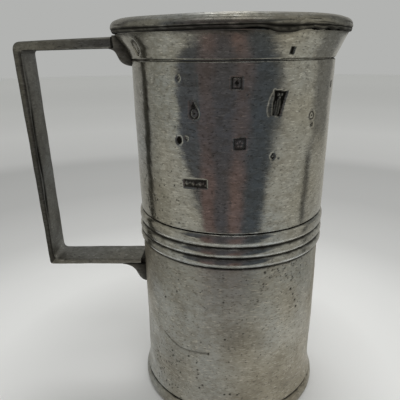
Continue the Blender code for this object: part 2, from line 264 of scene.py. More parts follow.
def turned_ring_tree(name, section, material):
    """Geometry Nodes tree that turns a closed section about the vessel's axis.

    A grid's X runs round the vessel and its Y along the section, whose radius and height are two
    float curves; a noise field with its own seed makes the ring slightly uneven.
    """
    tree = bpy.data.node_groups.new(name, "GeometryNodeTree")
    inputs = {}
    for label, kind in (("Columns", "NodeSocketInt"), ("Rows", "NodeSocketInt"),
                        ("Least Radius", "NodeSocketFloat"), ("Most Radius", "NodeSocketFloat"),
                        ("Least Height", "NodeSocketFloat"), ("Most Height", "NodeSocketFloat"),
                        ("Axis X", "NodeSocketFloat"), ("Unevenness", "NodeSocketFloat"),
                        ("Seed", "NodeSocketFloat")):
        inputs[label] = tree.interface.new_socket(label, in_out="INPUT", socket_type=kind)
    tree.interface.new_socket("Ring", in_out="OUTPUT", socket_type="NodeSocketGeometry")
    nodes, links = tree.nodes, tree.links
    given = nodes.new("NodeGroupInput")

    def math_node(operation, first, second=None):
        node = nodes.new("ShaderNodeMath")
        node.operation = operation
        for slot, value in ((0, first), (1, second)):
            if isinstance(value, bpy.types.NodeSocket):
                links.new(value, node.inputs[slot])
            elif value is not None:
                node.inputs[slot].default_value = value
        return node.outputs[0]

    grid = nodes.new("GeometryNodeMeshGrid")
    grid.inputs["Size X"].default_value = 1.0
    grid.inputs["Size Y"].default_value = 1.0
    links.new(given.outputs["Columns"], grid.inputs["Vertices X"])
    links.new(given.outputs["Rows"], grid.inputs["Vertices Y"])
    place = nodes.new("GeometryNodeInputPosition")
    split = nodes.new("ShaderNodeSeparateXYZ")
    links.new(place.outputs[0], split.inputs[0])
    angle = math_node("MULTIPLY", math_node("ADD", split.outputs["X"], 0.5), math.tau)
    share = math_node("ADD", split.outputs["Y"], 0.5)

    def along_section(values, least, most):
        curve = nodes.new("ShaderNodeFloatCurve")
        low, high = min(values), max(values)
        closed = values + values[:1]
        set_curve(curve, [(value - low) / (high - low) for value in closed])
        links.new(share, curve.inputs["Value"])
        spread = math_node("SUBTRACT", given.outputs[most], given.outputs[least])
        return math_node("ADD", math_node("MULTIPLY", curve.outputs[0], spread),
                         given.outputs[least])

    radius = along_section([r for r, _ in section], "Least Radius", "Most Radius")
    height = along_section([z for _, z in section], "Least Height", "Most Height")
    cosine, sine = math_node("COSINE", angle), math_node("SINE", angle)
    unit = nodes.new("ShaderNodeCombineXYZ")
    links.new(cosine, unit.inputs["X"])
    links.new(sine, unit.inputs["Y"])
    links.new(math_node("MULTIPLY", height, 25.0), unit.inputs["Z"])
    noise = nodes.new("ShaderNodeTexNoise")
    noise.noise_dimensions = "4D"
    noise.inputs["Scale"].default_value = 3.2
    noise.inputs["Detail"].default_value = 3.0
    links.new(unit.outputs[0], noise.inputs["Vector"])
    links.new(given.outputs["Seed"], noise.inputs["W"])
    swing = math_node("SUBTRACT", noise.outputs[0], 0.5)
    radius = math_node("ADD", radius, math_node("MULTIPLY", swing, given.outputs["Unevenness"]))
    point = nodes.new("ShaderNodeCombineXYZ")
    links.new(math_node("ADD", math_node("MULTIPLY", radius, cosine), given.outputs["Axis X"]),
              point.inputs["X"])
    links.new(math_node("MULTIPLY", radius, sine), point.inputs["Y"])
    links.new(height, point.inputs["Z"])
    bend = nodes.new("GeometryNodeSetPosition")
    links.new(grid.outputs["Mesh"], bend.inputs["Geometry"])
    links.new(point.outputs[0], bend.inputs["Position"])
    merge = nodes.new("GeometryNodeMergeByDistance")
    merge.inputs["Distance"].default_value = 0.002 * MM
    links.new(bend.outputs[0], merge.inputs["Geometry"])
    realize = nodes.new("GeometryNodeRealizeInstances")
    links.new(merge.outputs[0], realize.inputs[0])
    paint = nodes.new("GeometryNodeSetMaterial")
    paint.inputs["Material"].default_value = material
    links.new(realize.outputs[0], paint.inputs["Geometry"])
    out = nodes.new("NodeGroupOutput")
    links.new(paint.outputs[0], out.inputs[0])
    return tree, inputs


def evenly_along(points, count, endpoint=True):
    """Count points, evenly spaced along a line of (a, b) points, as rows of an array."""
    line = np.array(points)
    gaps = np.hypot(*np.diff(line, axis=0).T)
    run = np.concatenate([[0.0], np.cumsum(gaps)])
    stations = np.linspace(0, run[-1], count, endpoint=endpoint)
    return np.stack([np.interp(stations, run, line[:, 0]), np.interp(stations, run, line[:, 1])], 1)


SECTION_POINTS = 200


def turned_ring(name, outline, material, columns, rows, unevenness):
    """A plain mesh piece turned by the tree above."""
    closed = outline + outline[:1]
    section = evenly_along(closed, SECTION_POINTS, endpoint=False).tolist()
    tree, inputs = turned_ring_tree(name + "_turning", section, material)
    holder = bpy.data.objects.new(name + "_blank", bpy.data.meshes.new(name + "_blank"))
    bpy.context.scene.collection.objects.link(holder)
    turning = holder.modifiers.new("turning", "NODES")
    turning.node_group = tree
    settings = {"Columns": columns + 1, "Rows": rows + 1,
                "Least Radius": min(r for r, _ in section),
                "Most Radius": max(r for r, _ in section),
                "Least Height": min(z for _, z in section),
                "Most Height": max(z for _, z in section),
                "Axis X": AXIS_X, "Unevenness": unevenness, "Seed": float(len(name))}
    for label, value in settings.items():
        turning[inputs[label].identifier] = value
    bpy.context.view_layer.update()
    evaluated = holder.evaluated_get(bpy.context.evaluated_depsgraph_get())
    mesh = bpy.data.meshes.new_from_object(evaluated)
    holder.modifiers.clear()
    bpy.data.objects.remove(holder, do_unlink=True)
    return finish_mesh(name, mesh, material, recalculate=True)


# ---------------------------------------------------------------- mesh helpers
def finish_mesh(name, mesh, material, recalculate=False, sharp=50):
    """Names a mesh, gives it its finish and links it as a piece at the origin."""
    if recalculate:
        bm = bmesh.new()
        bm.from_mesh(mesh)
        bmesh.ops.recalc_face_normals(bm, faces=bm.faces)
        bm.to_mesh(mesh)
        bm.free()
    mesh.name = name
    mesh.materials.clear()
    mesh.materials.append(material)
    mesh.shade_smooth()
    mesh.set_sharp_from_angle(angle=math.radians(sharp))
    piece = bpy.data.objects.new(name, mesh)
    bpy.context.scene.collection.objects.link(piece)
    return piece


def give_grime_and_shade(mesh, values):
    """Dirt and painted shade lying on each vertex, from 0 clean to 1 black."""
    layer = mesh.attributes.new("grime_and_shade", "FLOAT", "POINT")
    layer.data.foreach_set("value", np.clip(values, 0.0, 1.0).astype(np.float32))


def coordinates(mesh):
    """The mesh's points as an array, a row each."""
    flat = np.empty(len(mesh.vertices) * 3, dtype=np.float32)
    mesh.vertices.foreach_get("co", flat)
    return flat.reshape(-1, 3).astype(float)


def skin_mesh(name, points):
    """Closed skin over a (rows, columns, 3) block of points that wraps both ways."""
    rows, columns = points.shape[:2]
    index = np.arange(rows * columns).reshape(rows, columns)
    right, up = np.roll(index, -1, axis=1), np.roll(index, -1, axis=0)
    faces = np.stack([index, right, np.roll(right, -1, axis=0), up], axis=-1).reshape(-1, 4)
    mesh = bpy.data.meshes.new(name)
    mesh.from_pydata(points.reshape(-1, 3).tolist(), [], faces.tolist())
    return mesh


# ---------------------------------------------------------------- relief of the hand-worn body
def ripples(angle, height, seed, amplitude, around, along, count=14):
    """Gentle hollows and swells left by the lathe, dents and rubbing; closes round the vessel.

    around is the least and most waves in a turn, along the least and most wave length upwards.
    """
    chance = np.random.default_rng(seed)
    total = np.zeros_like(height)
    for _ in range(count):
        turns = chance.integers(around[0], around[1] + 1)
        wave = math.tau / chance.uniform(*along)
        phase = chance.uniform(0, math.tau)
        weight = chance.uniform(0.4, 1.0)
        total += weight * np.cos(turns * angle + wave * height + phase)
    return amplitude * total / math.sqrt(count)


# A punch mark is a sum of shapes on a flat face: u to the right and v up are in metres from the
# middle of the mark, and the numbers that give a shape's place and size are in mm.
SOFT_EDGE = 0.22 * MM


def ink(distance):
    """1 inside a shape, 0 outside, with a soft edge; distance is negative inside."""
    return np.clip(0.5 - distance / SOFT_EDGE, 0.0, 1.0)


def dot(u, v, x, y, radius):
    return ink(np.hypot(u - x * MM, v - y * MM) - radius * MM)


def oval(u, v, x, y, half_x, half_y, line=None):
    """Filled oval, or its outline when line gives a width."""
    a, b = half_x * MM, half_y * MM
    reach = (np.hypot((u - x * MM) / a, (v - y * MM) / b) - 1) * min(a, b)
    if line is not None:
        reach = np.abs(reach) - line * MM / 2
    return ink(reach)


def block(u, v, width, height, line=None):
    """Filled rectangle about the middle, or its outline when line gives a width."""
    over = np.maximum(np.abs(u) - width * MM / 2, np.abs(v) - height * MM / 2)
    if line is not None:
        over = np.abs(over) - line * MM / 2
    return ink(over)


def join(*shapes):
    return np.maximum.reduce(shapes)


def tall_ring_mark(u, v):
    return join(oval(u, v, 0, 0, 1.5, 2.8, 0.65), 0.25 * oval(u, v, 0, 0, 1.3, 2.5))


def slot_mark(u, v):
    return block(u, v, 1.8, 2.8)


def framed_lozenge_mark(u, v):
    lozenge = ink(np.abs(u - 0.1 * MM) + np.abs(v) * 0.8 - 1.05 * MM)
    return join(block(u, v, 3.5, 4.0, 0.6), 0.25 * block(u, v, 3.2, 3.6), lozenge)


def blossom_mark(u, v):
    petals = [dot(u, v, math.cos(a), math.sin(a), 0.42) for a in (0.3, 1.55, 2.8, 4.1, 5.3)]
    field = np.clip(0.8 * block(u, v, 4.0, 4.0) - join(*petals), 0, 1)
    return join(block(u, v, 4.2, 4.2, 0.6), field)


def worn_patch_mark(u, v):
    return join(0.8 * block(u, v, 6.4, 4.4), block(u, v - 2.2 * MM, 6.6, 0.5))


def bud_mark(u, v):
    cap = ink(np.maximum(np.abs(u) * 1.2 + (v - 3.4 * MM) * 0.55, 0.6 * MM - v))
    return join(cap, oval(u, v, 0.1, -1.6, 1.7, 2.0, 0.7), dot(u, v, 0.1, -1.5, 0.55),
                0.4 * block(u, v, 3.8, 7.4))


def cartouche_mark(u, v):
    """Leaning, tapering plate with a ribbed face, struck beside a shallow slip of the punch."""
    plate = block(u * (1 - 0.05 * v / MM) - 0.9 * MM + 0.04 * v, v - 0.3 * MM, 4.2, 9.8)
    ribs = oval(u, v, 0.8, -1.2, 1.5, 3.2) * (0.5 + 0.5 * np.cos(7.5 * u / MM + 2.2 * v / MM))
    studs = join(dot(u, v, 0.3, 3.6, 0.5), dot(u, v, 1.7, 3.7, 0.45), dot(u, v, 1.0, 2.5, 0.4))
    slip = 0.45 * oval(u, v, -1.6, -0.6, 1.6, 4.8)
    return join(np.clip(plate - join(0.45 * ribs, 0.6 * studs), 0, 1), slip)


def flat_oval_mark(u, v):
    return oval(u, v, 0, 0, 1.3, 1.7)


def small_lozenge_mark(u, v):
    outside = ink(np.abs(u) * 1.15 + np.abs(v) * 0.95 - 1.15 * MM)
    return np.clip(outside - 0.7 * dot(u, v, 0.1, 0.1, 0.4), 0, 1)


def lozenge_and_dot_mark(u, v):
    lozenge = ink(np.abs(u) * 1.1 + np.abs(v) * 0.8 - 1.25 * MM)
    return join(np.clip(lozenge - 0.8 * dot(u, v, 0, 0, 0.35), 0, 1), dot(u, v, 2.5, -0.9, 0.34))


def ringed_dot_mark(u, v):
    return join(oval(u, v, 0, 0, 1.5, 1.5, 0.6), dot(u, v, 0, 0, 0.4))


def small_square_mark(u, v):
    return np.clip(block(u, v, 1.7, 1.5) - 0.6 * dot(u, v, 0.1, 0, 0.4), 0, 1)


def plate_mark(u, v):
    """Sunk strip with a row of raised lozenges and beads."""
    lozenges = [ink(np.abs(u - x * MM) * 0.9 + np.abs(v) - 0.85 * MM) for x in (-3.8, -0.9, 2.2)]
    beads = [dot(u, v, x, y, 0.34) for x, y in ((-2.3, 0.3), (0.7, -0.4), (3.6, 0.2), (4.5, -0.6))]
    return np.clip(block(u, v, 10.4, 3.7) - 0.6 * join(*lozenges, *beads), 0, 1)


# pattern, angle round the vessel from its front (degrees, + to the right), height (mm),
# lean (degrees), depth (mm), dirt in it
PUNCHES = (
    (slot_mark, 28.5, 173.4, -4, 0.40, 1.0),
    (tall_ring_mark, -53.5, 175.0, -30, 0.40, 0.75),
    (small_lozenge_mark, -26.5, 163.5, 0, 0.30, 0.8),
    (worn_patch_mark, -20.5, 162.5, 0, 0.08, 0.25),
    (framed_lozenge_mark, 2.5, 162.0, 0, 0.34, 0.95),
    (bud_mark, -18.5, 152.0, 4, 0.42, 0.9),
    (cartouche_mark, 22.0, 154.0, -9, 0.45, 1.0),
    (flat_oval_mark, -27.0, 139.5, 0, 0.34, 1.0),
    (small_lozenge_mark, -22.8, 140.4, 25, 0.30, 0.85),
    (blossom_mark, 4.5, 139.0, 3, 0.30, 0.9),
    (lozenge_and_dot_mark, 21.5, 133.5, 0, 0.34, 1.0),
    (ringed_dot_mark, 45.5, 148.2, 0, 0.36, 0.9),
    (small_square_mark, 46.2, 144.4, 15, 0.36, 0.9),
    (plate_mark, -18.5, 122.0, 2, 0.30, 0.9),
    (slot_mark, 67.5, 159.5, 0, 0.30, 0.8),
)

# single pits: angle (degrees), height, radius (mm)
LONE_PITS = (
    (-42.5, 62.5, 0.480), (-32.5, 68.5, 0.400), (-3.0, 67.5, 0.336), (17.0, 67.5, 0.320),
    (39.5, 69.5, 0.480), (42.0, 66.0, 0.400), (44.0, 62.5, 0.440), (45.5, 58.5, 0.480),
    (-2.0, 48.0, 0.336), (-12.0, 39.0, 0.416), (-25.0, 35.0, 0.400), (-19.5, 32.5, 0.336),
    (-19.0, 28.5, 0.368), (-18.6, 26.0, 0.336), (-19.6, 23.5, 0.352), (-16.0, 20.0, 0.416),
    (-18.0, 18.0, 0.384), (-2.0, 16.5, 0.360), (1.5, 16.8, 0.440), (6.0, 16.5, 0.336),
)

# scattered pits: angle range, height range, how many, radius range (mm)
PIT_FIELDS = (
    ((-60, -26), (100, 121), 40, (0.16, 0.34)),
    ((-50, -10), (100, 150), 14, (0.14, 0.24)),
    ((-58, -30), (10, 34), 46, (0.18, 0.36)),
    ((16, 48), (74, 84), 44, (0.16, 0.34)),
    ((-70, 70), (12, 82), 70, (0.14, 0.26)),
    ((70, 290), (12, 82), 90, (0.16, 0.38)),
    ((-60, 75), (102, 166), 20, (0.12, 0.22)),
    ((75, 285), (102, 166), 80, (0.16, 0.38)),
)

# scratches: (angle, height) points, width and depth (mm)
SCRATCHES = (
    (((-44.0, 42.5), (-38.0, 40.0), (-31.0, 38.2), (-24.5, 38.2), (-12.5, 39.0)), 0.80, 0.11),
    (((-16.5, 65.2), (-12.5, 63.0)), 0.45, 0.12),
    (((12.0, 24.0), (19.0, 23.4)), 0.40, 0.08),
    (((120.0, 60.0), (150.0, 48.0)), 0.50, 0.10),
    (((200.0, 140.0), (216.0, 150.0)), 0.45, 0.10),
)


def all_pits():
    """(angle, height, radius) of every pit, in radians and metres."""
    chance = np.random.default_rng(SEED)
    pits = [(math.radians(a), z * MM, r * MM) for a, z, r in LONE_PITS]
    for angles, heights, count, radii in PIT_FIELDS:
        for _ in range(count):
            pits.append((math.radians(chance.uniform(*angles)), chance.uniform(*heights) * MM,
                         chance.uniform(*radii) * MM))
    return pits


def turned_back(angle):
    """An angle brought into -pi..pi."""
    return (angle + math.pi) % math.tau - math.pi


def over_stretch(angle, middle, half):
    """1 over a stretch of the vessel's round, given in degrees, and 0 a little past its ends."""
    return np.exp(-(turned_back(angle - math.radians(middle)) / math.radians(half)) ** 4)


MARK_REACH = 9 * MM          # no punch mark reaches this far from its middle
PIT_DEPTH = 0.7              # share of a pit's radius


def body_relief(angle, height, radius):
    """Depth (metres, inwards) and grime of the marks, pits and scratches at each point."""
    depth = np.zeros_like(height)
    grime_and_shade = np.zeros_like(height)
    lowest, highest = height.min(), height.max()
    for pattern, at_angle, at_height, lean, deep, dirty in PUNCHES:
        if not lowest - MARK_REACH < at_height * MM < highest + MARK_REACH:
            continue
        across = turned_back(angle - math.radians(at_angle)) * radius
        upward = height - at_height * MM
        near = (np.abs(across) < MARK_REACH) & (np.abs(upward) < MARK_REACH)
        tilt = math.radians(lean)
        u = across[near] * math.cos(tilt) + upward[near] * math.sin(tilt)
        v = upward[near] * math.cos(tilt) - across[near] * math.sin(tilt)
        mark = pattern(u, v)
        depth[near] = np.maximum(depth[near], mark * deep * MM)
        grime_and_shade[near] = np.maximum(grime_and_shade[near], mark * dirty)
    for at_angle, at_height, size in all_pits():
        if not lowest < at_height < highest:
            continue
        across = turned_back(angle - at_angle) * radius
        upward = height - at_height
        near = (np.abs(across) < 4 * size) & (np.abs(upward) < 4 * size)
        hollow = np.exp(-(across[near] ** 2 + upward[near] ** 2) / size ** 2)
        depth[near] += hollow * size * PIT_DEPTH
        grime_and_shade[near] = np.maximum(grime_and_shade[near], np.minimum(1.0, 1.7 * hollow))
    for points, width, deep in SCRATCHES:
        for (a0, z0), (a1, z1) in zip(points[:-1], points[1:]):
            across = turned_back(angle - math.radians(a0)) * radius
            end = math.radians(a1 - a0) * radius.mean()
            upward = height - z0 * MM
            line = ink_line(across, upward, end, (z1 - z0) * MM, width * MM)
            depth = np.maximum(depth, line * deep * MM)
            grime_and_shade = np.maximum(grime_and_shade, 0.5 * line)
    return depth, grime_and_shade


def ink_line(across, upward, end_across, end_upward, width):
    """Soft round-bottomed groove from the middle of the flat face to an end."""
    run = end_across ** 2 + end_upward ** 2
    share = np.clip((across * end_across + upward * end_upward) / run, 0, 1)
    reach = np.hypot(across - share * end_across, upward - share * end_upward)
    return np.exp(-(reach / (width / 2)) ** 2)


FRONT_HALF = math.radians(100)


def front_graded_angles(fine, coarse):
    """Angles round the vessel, finer over its front half; both steps are in metres."""
    half = FRONT_HALF
    front = np.linspace(-half, half, math.ceil(2 * half * LINE_R / fine), endpoint=False)
    back_span = math.tau - 2 * half
    back = np.linspace(half, half + back_span, math.ceil(back_span * LINE_R / coarse), endpoint=False)
    return np.concatenate([front, back])


def mouth_lean(height):
    """How far towards the handle the knocked mouth stands at a height."""
    share = np.clip((height - (LINE_Z + 4 * MM)) / (8 * MM), 0, 1)
    return MOUTH_LEAN * share


def mouth_squeeze(angle, height):
    """The knocked mouth is a little narrower from front to back than across."""
    share = np.clip((height - LINE_Z) / (RIM_BOTTOM - LINE_Z), 0, 1)
    return MOUTH_SQUEEZE * share * np.cos(angle) ** 2


def line_dirt_and_shade(angle, height, line, reach):
    """Dirt and painted shade along the line at a height: dirt in the incised line, painted shade against
    the girdle and under the rim; it fades and breaks off round the vessel.
    """
    fade = 0.62 + 0.2 * np.sin(5 * angle + 1.3) + 0.14 * np.sin(17 * angle + 40 * line)
    broken = 1 + 0.35 * np.sin(83 * angle + 900 * height) * np.sin(47 * angle + 2)
    return fade * np.exp(-(np.abs(height - line) / (reach * broken)) ** 1.6)


def torn_rim_shadow(angle, height):
    """Painted shadow on the wall close under the rim, where the rim's lower edge is torn."""
    under_rim = np.clip((height - RIM_BOTTOM + 2.2 * MM) / (0.8 * MM), 0, 1)
    return 0.7 * over_stretch(angle, 22, 6) * under_rim


LINE_REACH = 0.42 * MM       # how far dirt and painted shade spread from a line
HIDDEN_GRIME = 0.15          # on a piece's bore and its hidden faces


def body_skin(name, outline, material, low, high, fine=0.45 * MM, coarse=0.95 * MM,
              wobble=0.15 * MM, top_reach=LINE_REACH):
    """A turned piece with the worn relief on its outer wall.

    outline is closed and already as fine as the mesh should be. The visible outer wall spans the
    heights low to high, and dirt and painted shade gather along both, as far as top_reach at the
    upper one.
    """
    section = np.array(outline)
    angles = front_graded_angles(fine, coarse)
    radius = np.repeat(section[:, :1], len(angles), axis=1)
    height = np.repeat(section[:, 1:], len(angles), axis=1)
    angle = np.repeat(angles[None, :], len(section), axis=0)
    outer = (height >= low - 0.01 * MM) & (height <= high + 0.01 * MM)
    outer &= radius > np.vectorize(wall_radius)(section[:, 1])[:, None] - 0.9 * MM
    depth, grime_and_shade = body_relief(angle, height, radius)
    swell = ripples(angle, height, SEED, wobble, (2, 9), (0.025, 0.09))
    swell += ripples(angle, height, SEED + 1, wobble * 0.30, (8, 24), (0.010, 0.03))
    swell += ripples(angle, height, SEED + 2, wobble * 0.05, (20, 60), (0.003, 0.009))
    radius = np.where(outer, radius - depth + swell, radius + 0.5 * swell)
    grime_and_shade = np.where(outer, grime_and_shade, HIDDEN_GRIME)
    for dirt_and_shade in (line_dirt_and_shade(angle, height, low, LINE_REACH),
                 line_dirt_and_shade(angle, height, high, top_reach), torn_rim_shadow(angle, height)):
        grime_and_shade = np.maximum(grime_and_shade, dirt_and_shade * outer)
    radius -= mouth_squeeze(angle, height)
    lean = mouth_lean(height)
    points = np.stack([AXIS_X + radius * np.sin(angle) - lean, -radius * np.cos(angle), height], -1)
    mesh = skin_mesh(name, points)
    give_grime_and_shade(mesh, grime_and_shade.ravel())
    return finish_mesh(name, mesh, material, recalculate=True)


def wall_rows(low, high, step):
    """(radius, height) points up the outer wall."""
    count = max(2, math.ceil((high - low) / step))
    return [(wall_radius(low + (high - low) * i / count), low + (high - low) * i / count)
            for i in range(count + 1)]


# softened edge on both sides of the incised line: (in from the wall, away from the edge)
LINE_EDGE = ((0.12 * MM, 0.25 * MM), (0.45 * MM, 0.0))
EDGE_IN = 0.35 * MM          # a barrel's edge beside the girdle is set back this far
BORE_ROWS = 24


def bore_rows(high, low):
    """(radius, height) points down the bore."""
    return [(bore_radius(z), z) for z in np.linspace(high, low, BORE_ROWS)]


def upper_barrel_skin(material):
    low, high = GIRDLE_HIGH + GAP, LINE_Z - GAP / 2
    wall = wall_rows(low + 0.4 * MM, high - 0.5 * MM, 0.42 * MM)
    shoulder = [(LINE_R - inwards, high - away) for inwards, away in LINE_EDGE]
    socket_r, socket_z = SKIRT_R + GAP, COLLAR_BOTTOM - GAP
    socket = [(socket_r, high), (socket_r, socket_z)]
    seat = [(SEAT_R, UPPER_BOTTOM), (SEAT_R, low), (GIRDLE_TOP_R - EDGE_IN, low)]
    outline = wall + shoulder + socket + bore_rows(socket_z, UPPER_BOTTOM) + seat
    return body_skin("upper_barrel_skin", outline, material, low, high)


SPREAD_Z, FOOT_SPREAD = 14 * MM, 1.2 * MM              # the wall spreads to the foot below this


def lower_barrel_skin(material):
    high = GIRDLE_LOW - GAP
    lip_z = BARREL_BOTTOM + 0.9 * MM
    spread = []
    steps = 12
    for i in range(steps + 1):
        share = 1 - i / steps
        spread.append((wall_radius(SPREAD_Z) + FOOT_SPREAD * share ** 2,
                       SPREAD_Z + (lip_z - SPREAD_Z) * share))
    wall = wall_rows(SPREAD_Z + 0.45 * MM, high - 0.4 * MM, 0.46 * MM)
    seat = [(GIRDLE_FOOT_R - EDGE_IN, high), (SEAT_R, high), (SEAT_R, LOWER_TOP)]
    foot = [(45.0 * MM, BARREL_BOTTOM), (45.35 * MM, BARREL_BOTTOM + 0.45 * MM)]
    outline = foot + spread + wall + seat + bore_rows(LOWER_TOP, BARREL_BOTTOM)
    return body_skin("lower_barrel_skin", outline, material, BARREL_BOTTOM, high, fine=0.46 * MM)


def collar_skin(material):
    low, high = LINE_Z + GAP / 2, RIM_BOTTOM - GAP
    wall = [(LINE_R - inwards, low + away) for inwards, away in reversed(LINE_EDGE)]
    wall += wall_rows(low + 0.5 * MM, high, 0.36 * MM)
    spigot = [(SPIGOT_R, high), (SPIGOT_R, COLLAR_TOP)]
    mouth_r = BORE_MOUTH - GAP
    mouth = []
    for share in np.linspace(1, 0, 14):
        mouth.append((BORE_HIGH + (mouth_r - BORE_HIGH) * share ** FLARE_POWER,
                      LINE_Z + (COLLAR_TOP - LINE_Z) * share))
    skirt = [(bore_radius(COLLAR_BOTTOM), COLLAR_BOTTOM), (SKIRT_R, COLLAR_BOTTOM), (SKIRT_R, low)]
    outline = wall + spigot + mouth + skirt
    # the wide dark band along the collar's top is painted shade under the rim
    return body_skin("lip_collar_skin", outline, material, low, high, wobble=0.10 * MM,
                     top_reach=1.1 * MM)


# ---------------------------------------------------------------- strap handle
# heights (over, under) of each bar at the body and at the grip, in mm
TOP_BAR = ((179.6, 174.7), (177.9, 174.0))
LOW_BAR = ((70.0, 67.1), (68.6, 65.7))
TOP_BAR_END, LOW_BAR_END = 54.4 * MM, 46.3 * MM
# distance of the grip's two faces from the vessel's axis, and the rounding of the strap's bends
# outside and inside, each at the top and at the foot
GRIP_OUT, GRIP_IN = (HANDLE_REACH, 95.6 * MM), (96.7 * MM, 93.4 * MM)
BENDS_OUT, BENDS_IN = (4.0 * MM, 1.6 * MM), (1.8 * MM, 3.0 * MM)
BAR_STEPS, GRIP_STEPS, BEND_STEPS = 60, 150, 14


def corner_arc(corner, before, after, rounding, count):
    """Points round one corner of the handle's outline."""
    here, first, last = Vector(corner), Vector(before), Vector(after)
    way_in, way_out = (first - here).normalized(), (last - here).normalized()
    reach = rounding / math.tan(way_in.angle(way_out) / 2)
    a, b = here + way_in * reach, here + way_out * reach
    points = []
    for step in range(count + 1):
        share = step / count
        points.append(a * (1 - share) ** 2 + here * 2 * share * (1 - share) + b * share ** 2)
    return points


def strap_sides():
    """Outer and inner points of the strap, in step with each other from top end to low end."""
    outer_corners = [(TOP_BAR_END, TOP_BAR[0][0] * MM), (GRIP_OUT[0], TOP_BAR[1][0] * MM),
                     (GRIP_OUT[1], LOW_BAR[1][1] * MM), (LOW_BAR_END, LOW_BAR[0][1] * MM)]
    inner_corners = [(TOP_BAR_END, TOP_BAR[0][1] * MM), (GRIP_IN[0], TOP_BAR[1][1] * MM),
                     (GRIP_IN[1], LOW_BAR[1][0] * MM), (LOW_BAR_END, LOW_BAR[0][0] * MM)]
    sides = []
    for corners, bends in ((outer_corners, BENDS_OUT), (inner_corners, BENDS_IN)):
        top = corner_arc(corners[1], corners[0], corners[2], bends[0], BEND_STEPS)
        low = corner_arc(corners[2], corners[1], corners[3], bends[1], BEND_STEPS)
        side = []
        for start, end, count in ((Vector(corners[0]), top[0], BAR_STEPS),
                                  (top[-1], low[0], GRIP_STEPS),
                                  (low[-1], Vector(corners[3]), BAR_STEPS)):
            side.append([start.lerp(end, step / count) for step in range(count + 1)])
        sides.append(side[0][:-1] + top + side[1][1:-1] + low + side[2][1:])
    return sides


# "share" below is how far along the strap a point is, from its top end 0 to its low end 1
TOP_BAR_SHARE = 0.24         # the grip starts here
CREASE_FROM, CREASE_TO = 0.22, 0.72
CREASE_DEPTH, CREASE_HALF = 0.28 * MM, 1.0 * MM
STRAP_CROWN, STRAP_EDGE = 0.15 * MM, 1.0 * MM


def strap_ring(thickness):
    """Round-cornered section: (across the width, through the thickness) in metres, closed."""
    corner = min(STRAP_EDGE, 0.36 * thickness)
    inset, steps, face_steps = HANDLE_HALF - corner, 5, 24
    ring = []
    for x, y, start in ((inset, thickness - corner, 0), (-inset, thickness - corner, 90),
                        (-inset, corner, 180), (inset, corner, 270)):
        for step in range(steps + 1):
            angle = math.radians(start + 90 * step / steps)
            ring.append((x + corner * math.cos(angle), y + corner * math.sin(angle)))
        if start in (0, 180):
            towards = -1 if start == 0 else 1
            level = thickness if start == 0 else 0.0
            for step in range(1, face_steps):
                ring.append((towards * inset * (2 * step / face_steps - 1), level))
    return ring


def grip_crease(share, across, phases):
    """Depth, 0 to 1, of the crease along the inside of the grip, near its front edge."""
    if not CREASE_FROM < share < CREASE_TO:
        return 0.0
    middle = -HANDLE_HALF * (0.70 + 0.05 * math.sin(29 * share + phases[2]))
    fade = min(1.0, 4 * (share - CREASE_FROM)) * min(1.0, 9 * (CREASE_TO - share))
    fade *= 0.75 + 0.25 * math.sin(61 * share + phases[4])
    return fade * math.exp(-((across - middle) / CREASE_HALF) ** 2)


def strap_dirt_and_shade(share, across, on_inside, crease):
    """Dirt and painted shade: dirt and painted shadow in the crease, darkening on the inside of top bar and
    grip, and painted shade down the grip's front edge, which faces the light.
    """
    on_front = across < -HANDLE_HALF + 0.9 * MM
    dirt_and_shade = 1.2 * crease
    if on_inside and share < 0.74:
        dirt_and_shade += 0.36 - 0.2 * share
    # painted shade on the grip's front edge, which faces the light
    if on_front and TOP_BAR_SHARE < share < 0.78:
        dirt_and_shade += 0.05 + 0.75 * share
    if share < TOP_BAR_SHARE and not on_front:
        dirt_and_shade += 0.24
    return min(1.0, dirt_and_shade)


def strap_skin(material):
    """The bent strap, with a crease down the inside of the grip darkened by dirt and painted shadow, and
    soft dents.
    """
    outer, inner = strap_sides()
    chance = np.random.default_rng(SEED + 5)
    phases = chance.uniform(0, math.tau, 6)
    rings, grime_and_shade = [], []
    count = len(outer)
    for i, (far, near) in enumerate(zip(outer, inner)):
        share = i / (count - 1)
        thickness = (far - near).length
        way = (far - near).normalized()
        sway = 0.10 * MM * math.sin(9 * share * math.tau + phases[0])
        sway += 0.05 * MM * math.sin(23 * share * math.tau + phases[1])
        ring, dirt_and_shade = [], []
        for across, deep in strap_ring(thickness):
            on_inside = deep < 0.02 * thickness
            crown = STRAP_CROWN * (1 - (across / HANDLE_HALF) ** 2) * (-0.6 if on_inside else 1)
            crease = grip_crease(share, across, phases) if on_inside else 0.0
            ripple = 0.04 * MM * math.sin(across / (2.1 * MM) + 31 * share + phases[3])
            if deep <= 0.5 * thickness:
                ripple = -ripple
            spot = near + way * (deep + crown + CREASE_DEPTH * crease + ripple)
            ring.append((AXIS_X - spot.x, across + sway, spot.y))
            dirt_and_shade.append(strap_dirt_and_shade(share, across, on_inside, crease))
        rings.append(ring)
        grime_and_shade.append(dirt_and_shade)
    mesh = tube_mesh("handle_strap_skin", np.array(rings))
    give_grime_and_shade(mesh, np.array(grime_and_shade).ravel())
    return finish_mesh("handle_strap_skin", mesh, material, recalculate=True, sharp=60)


def tube_mesh(name, rings):
    """Skin over rings of points, closed by a flat cap at both ends."""
    levels, around = rings.shape[:2]
    faces = []
    for level in range(levels - 1):
        for i in range(around):
            j = (i + 1) % around
            faces.append((level * around + i, level * around + j,
                          (level + 1) * around + j, (level + 1) * around + i))
    faces.append(tuple(range(around)))
    faces.append(tuple(range((levels - 1) * around, levels * around)))
    mesh = bpy.data.meshes.new(name)
    mesh.from_pydata(rings.reshape(-1, 3).tolist(), [], faces)
    return mesh


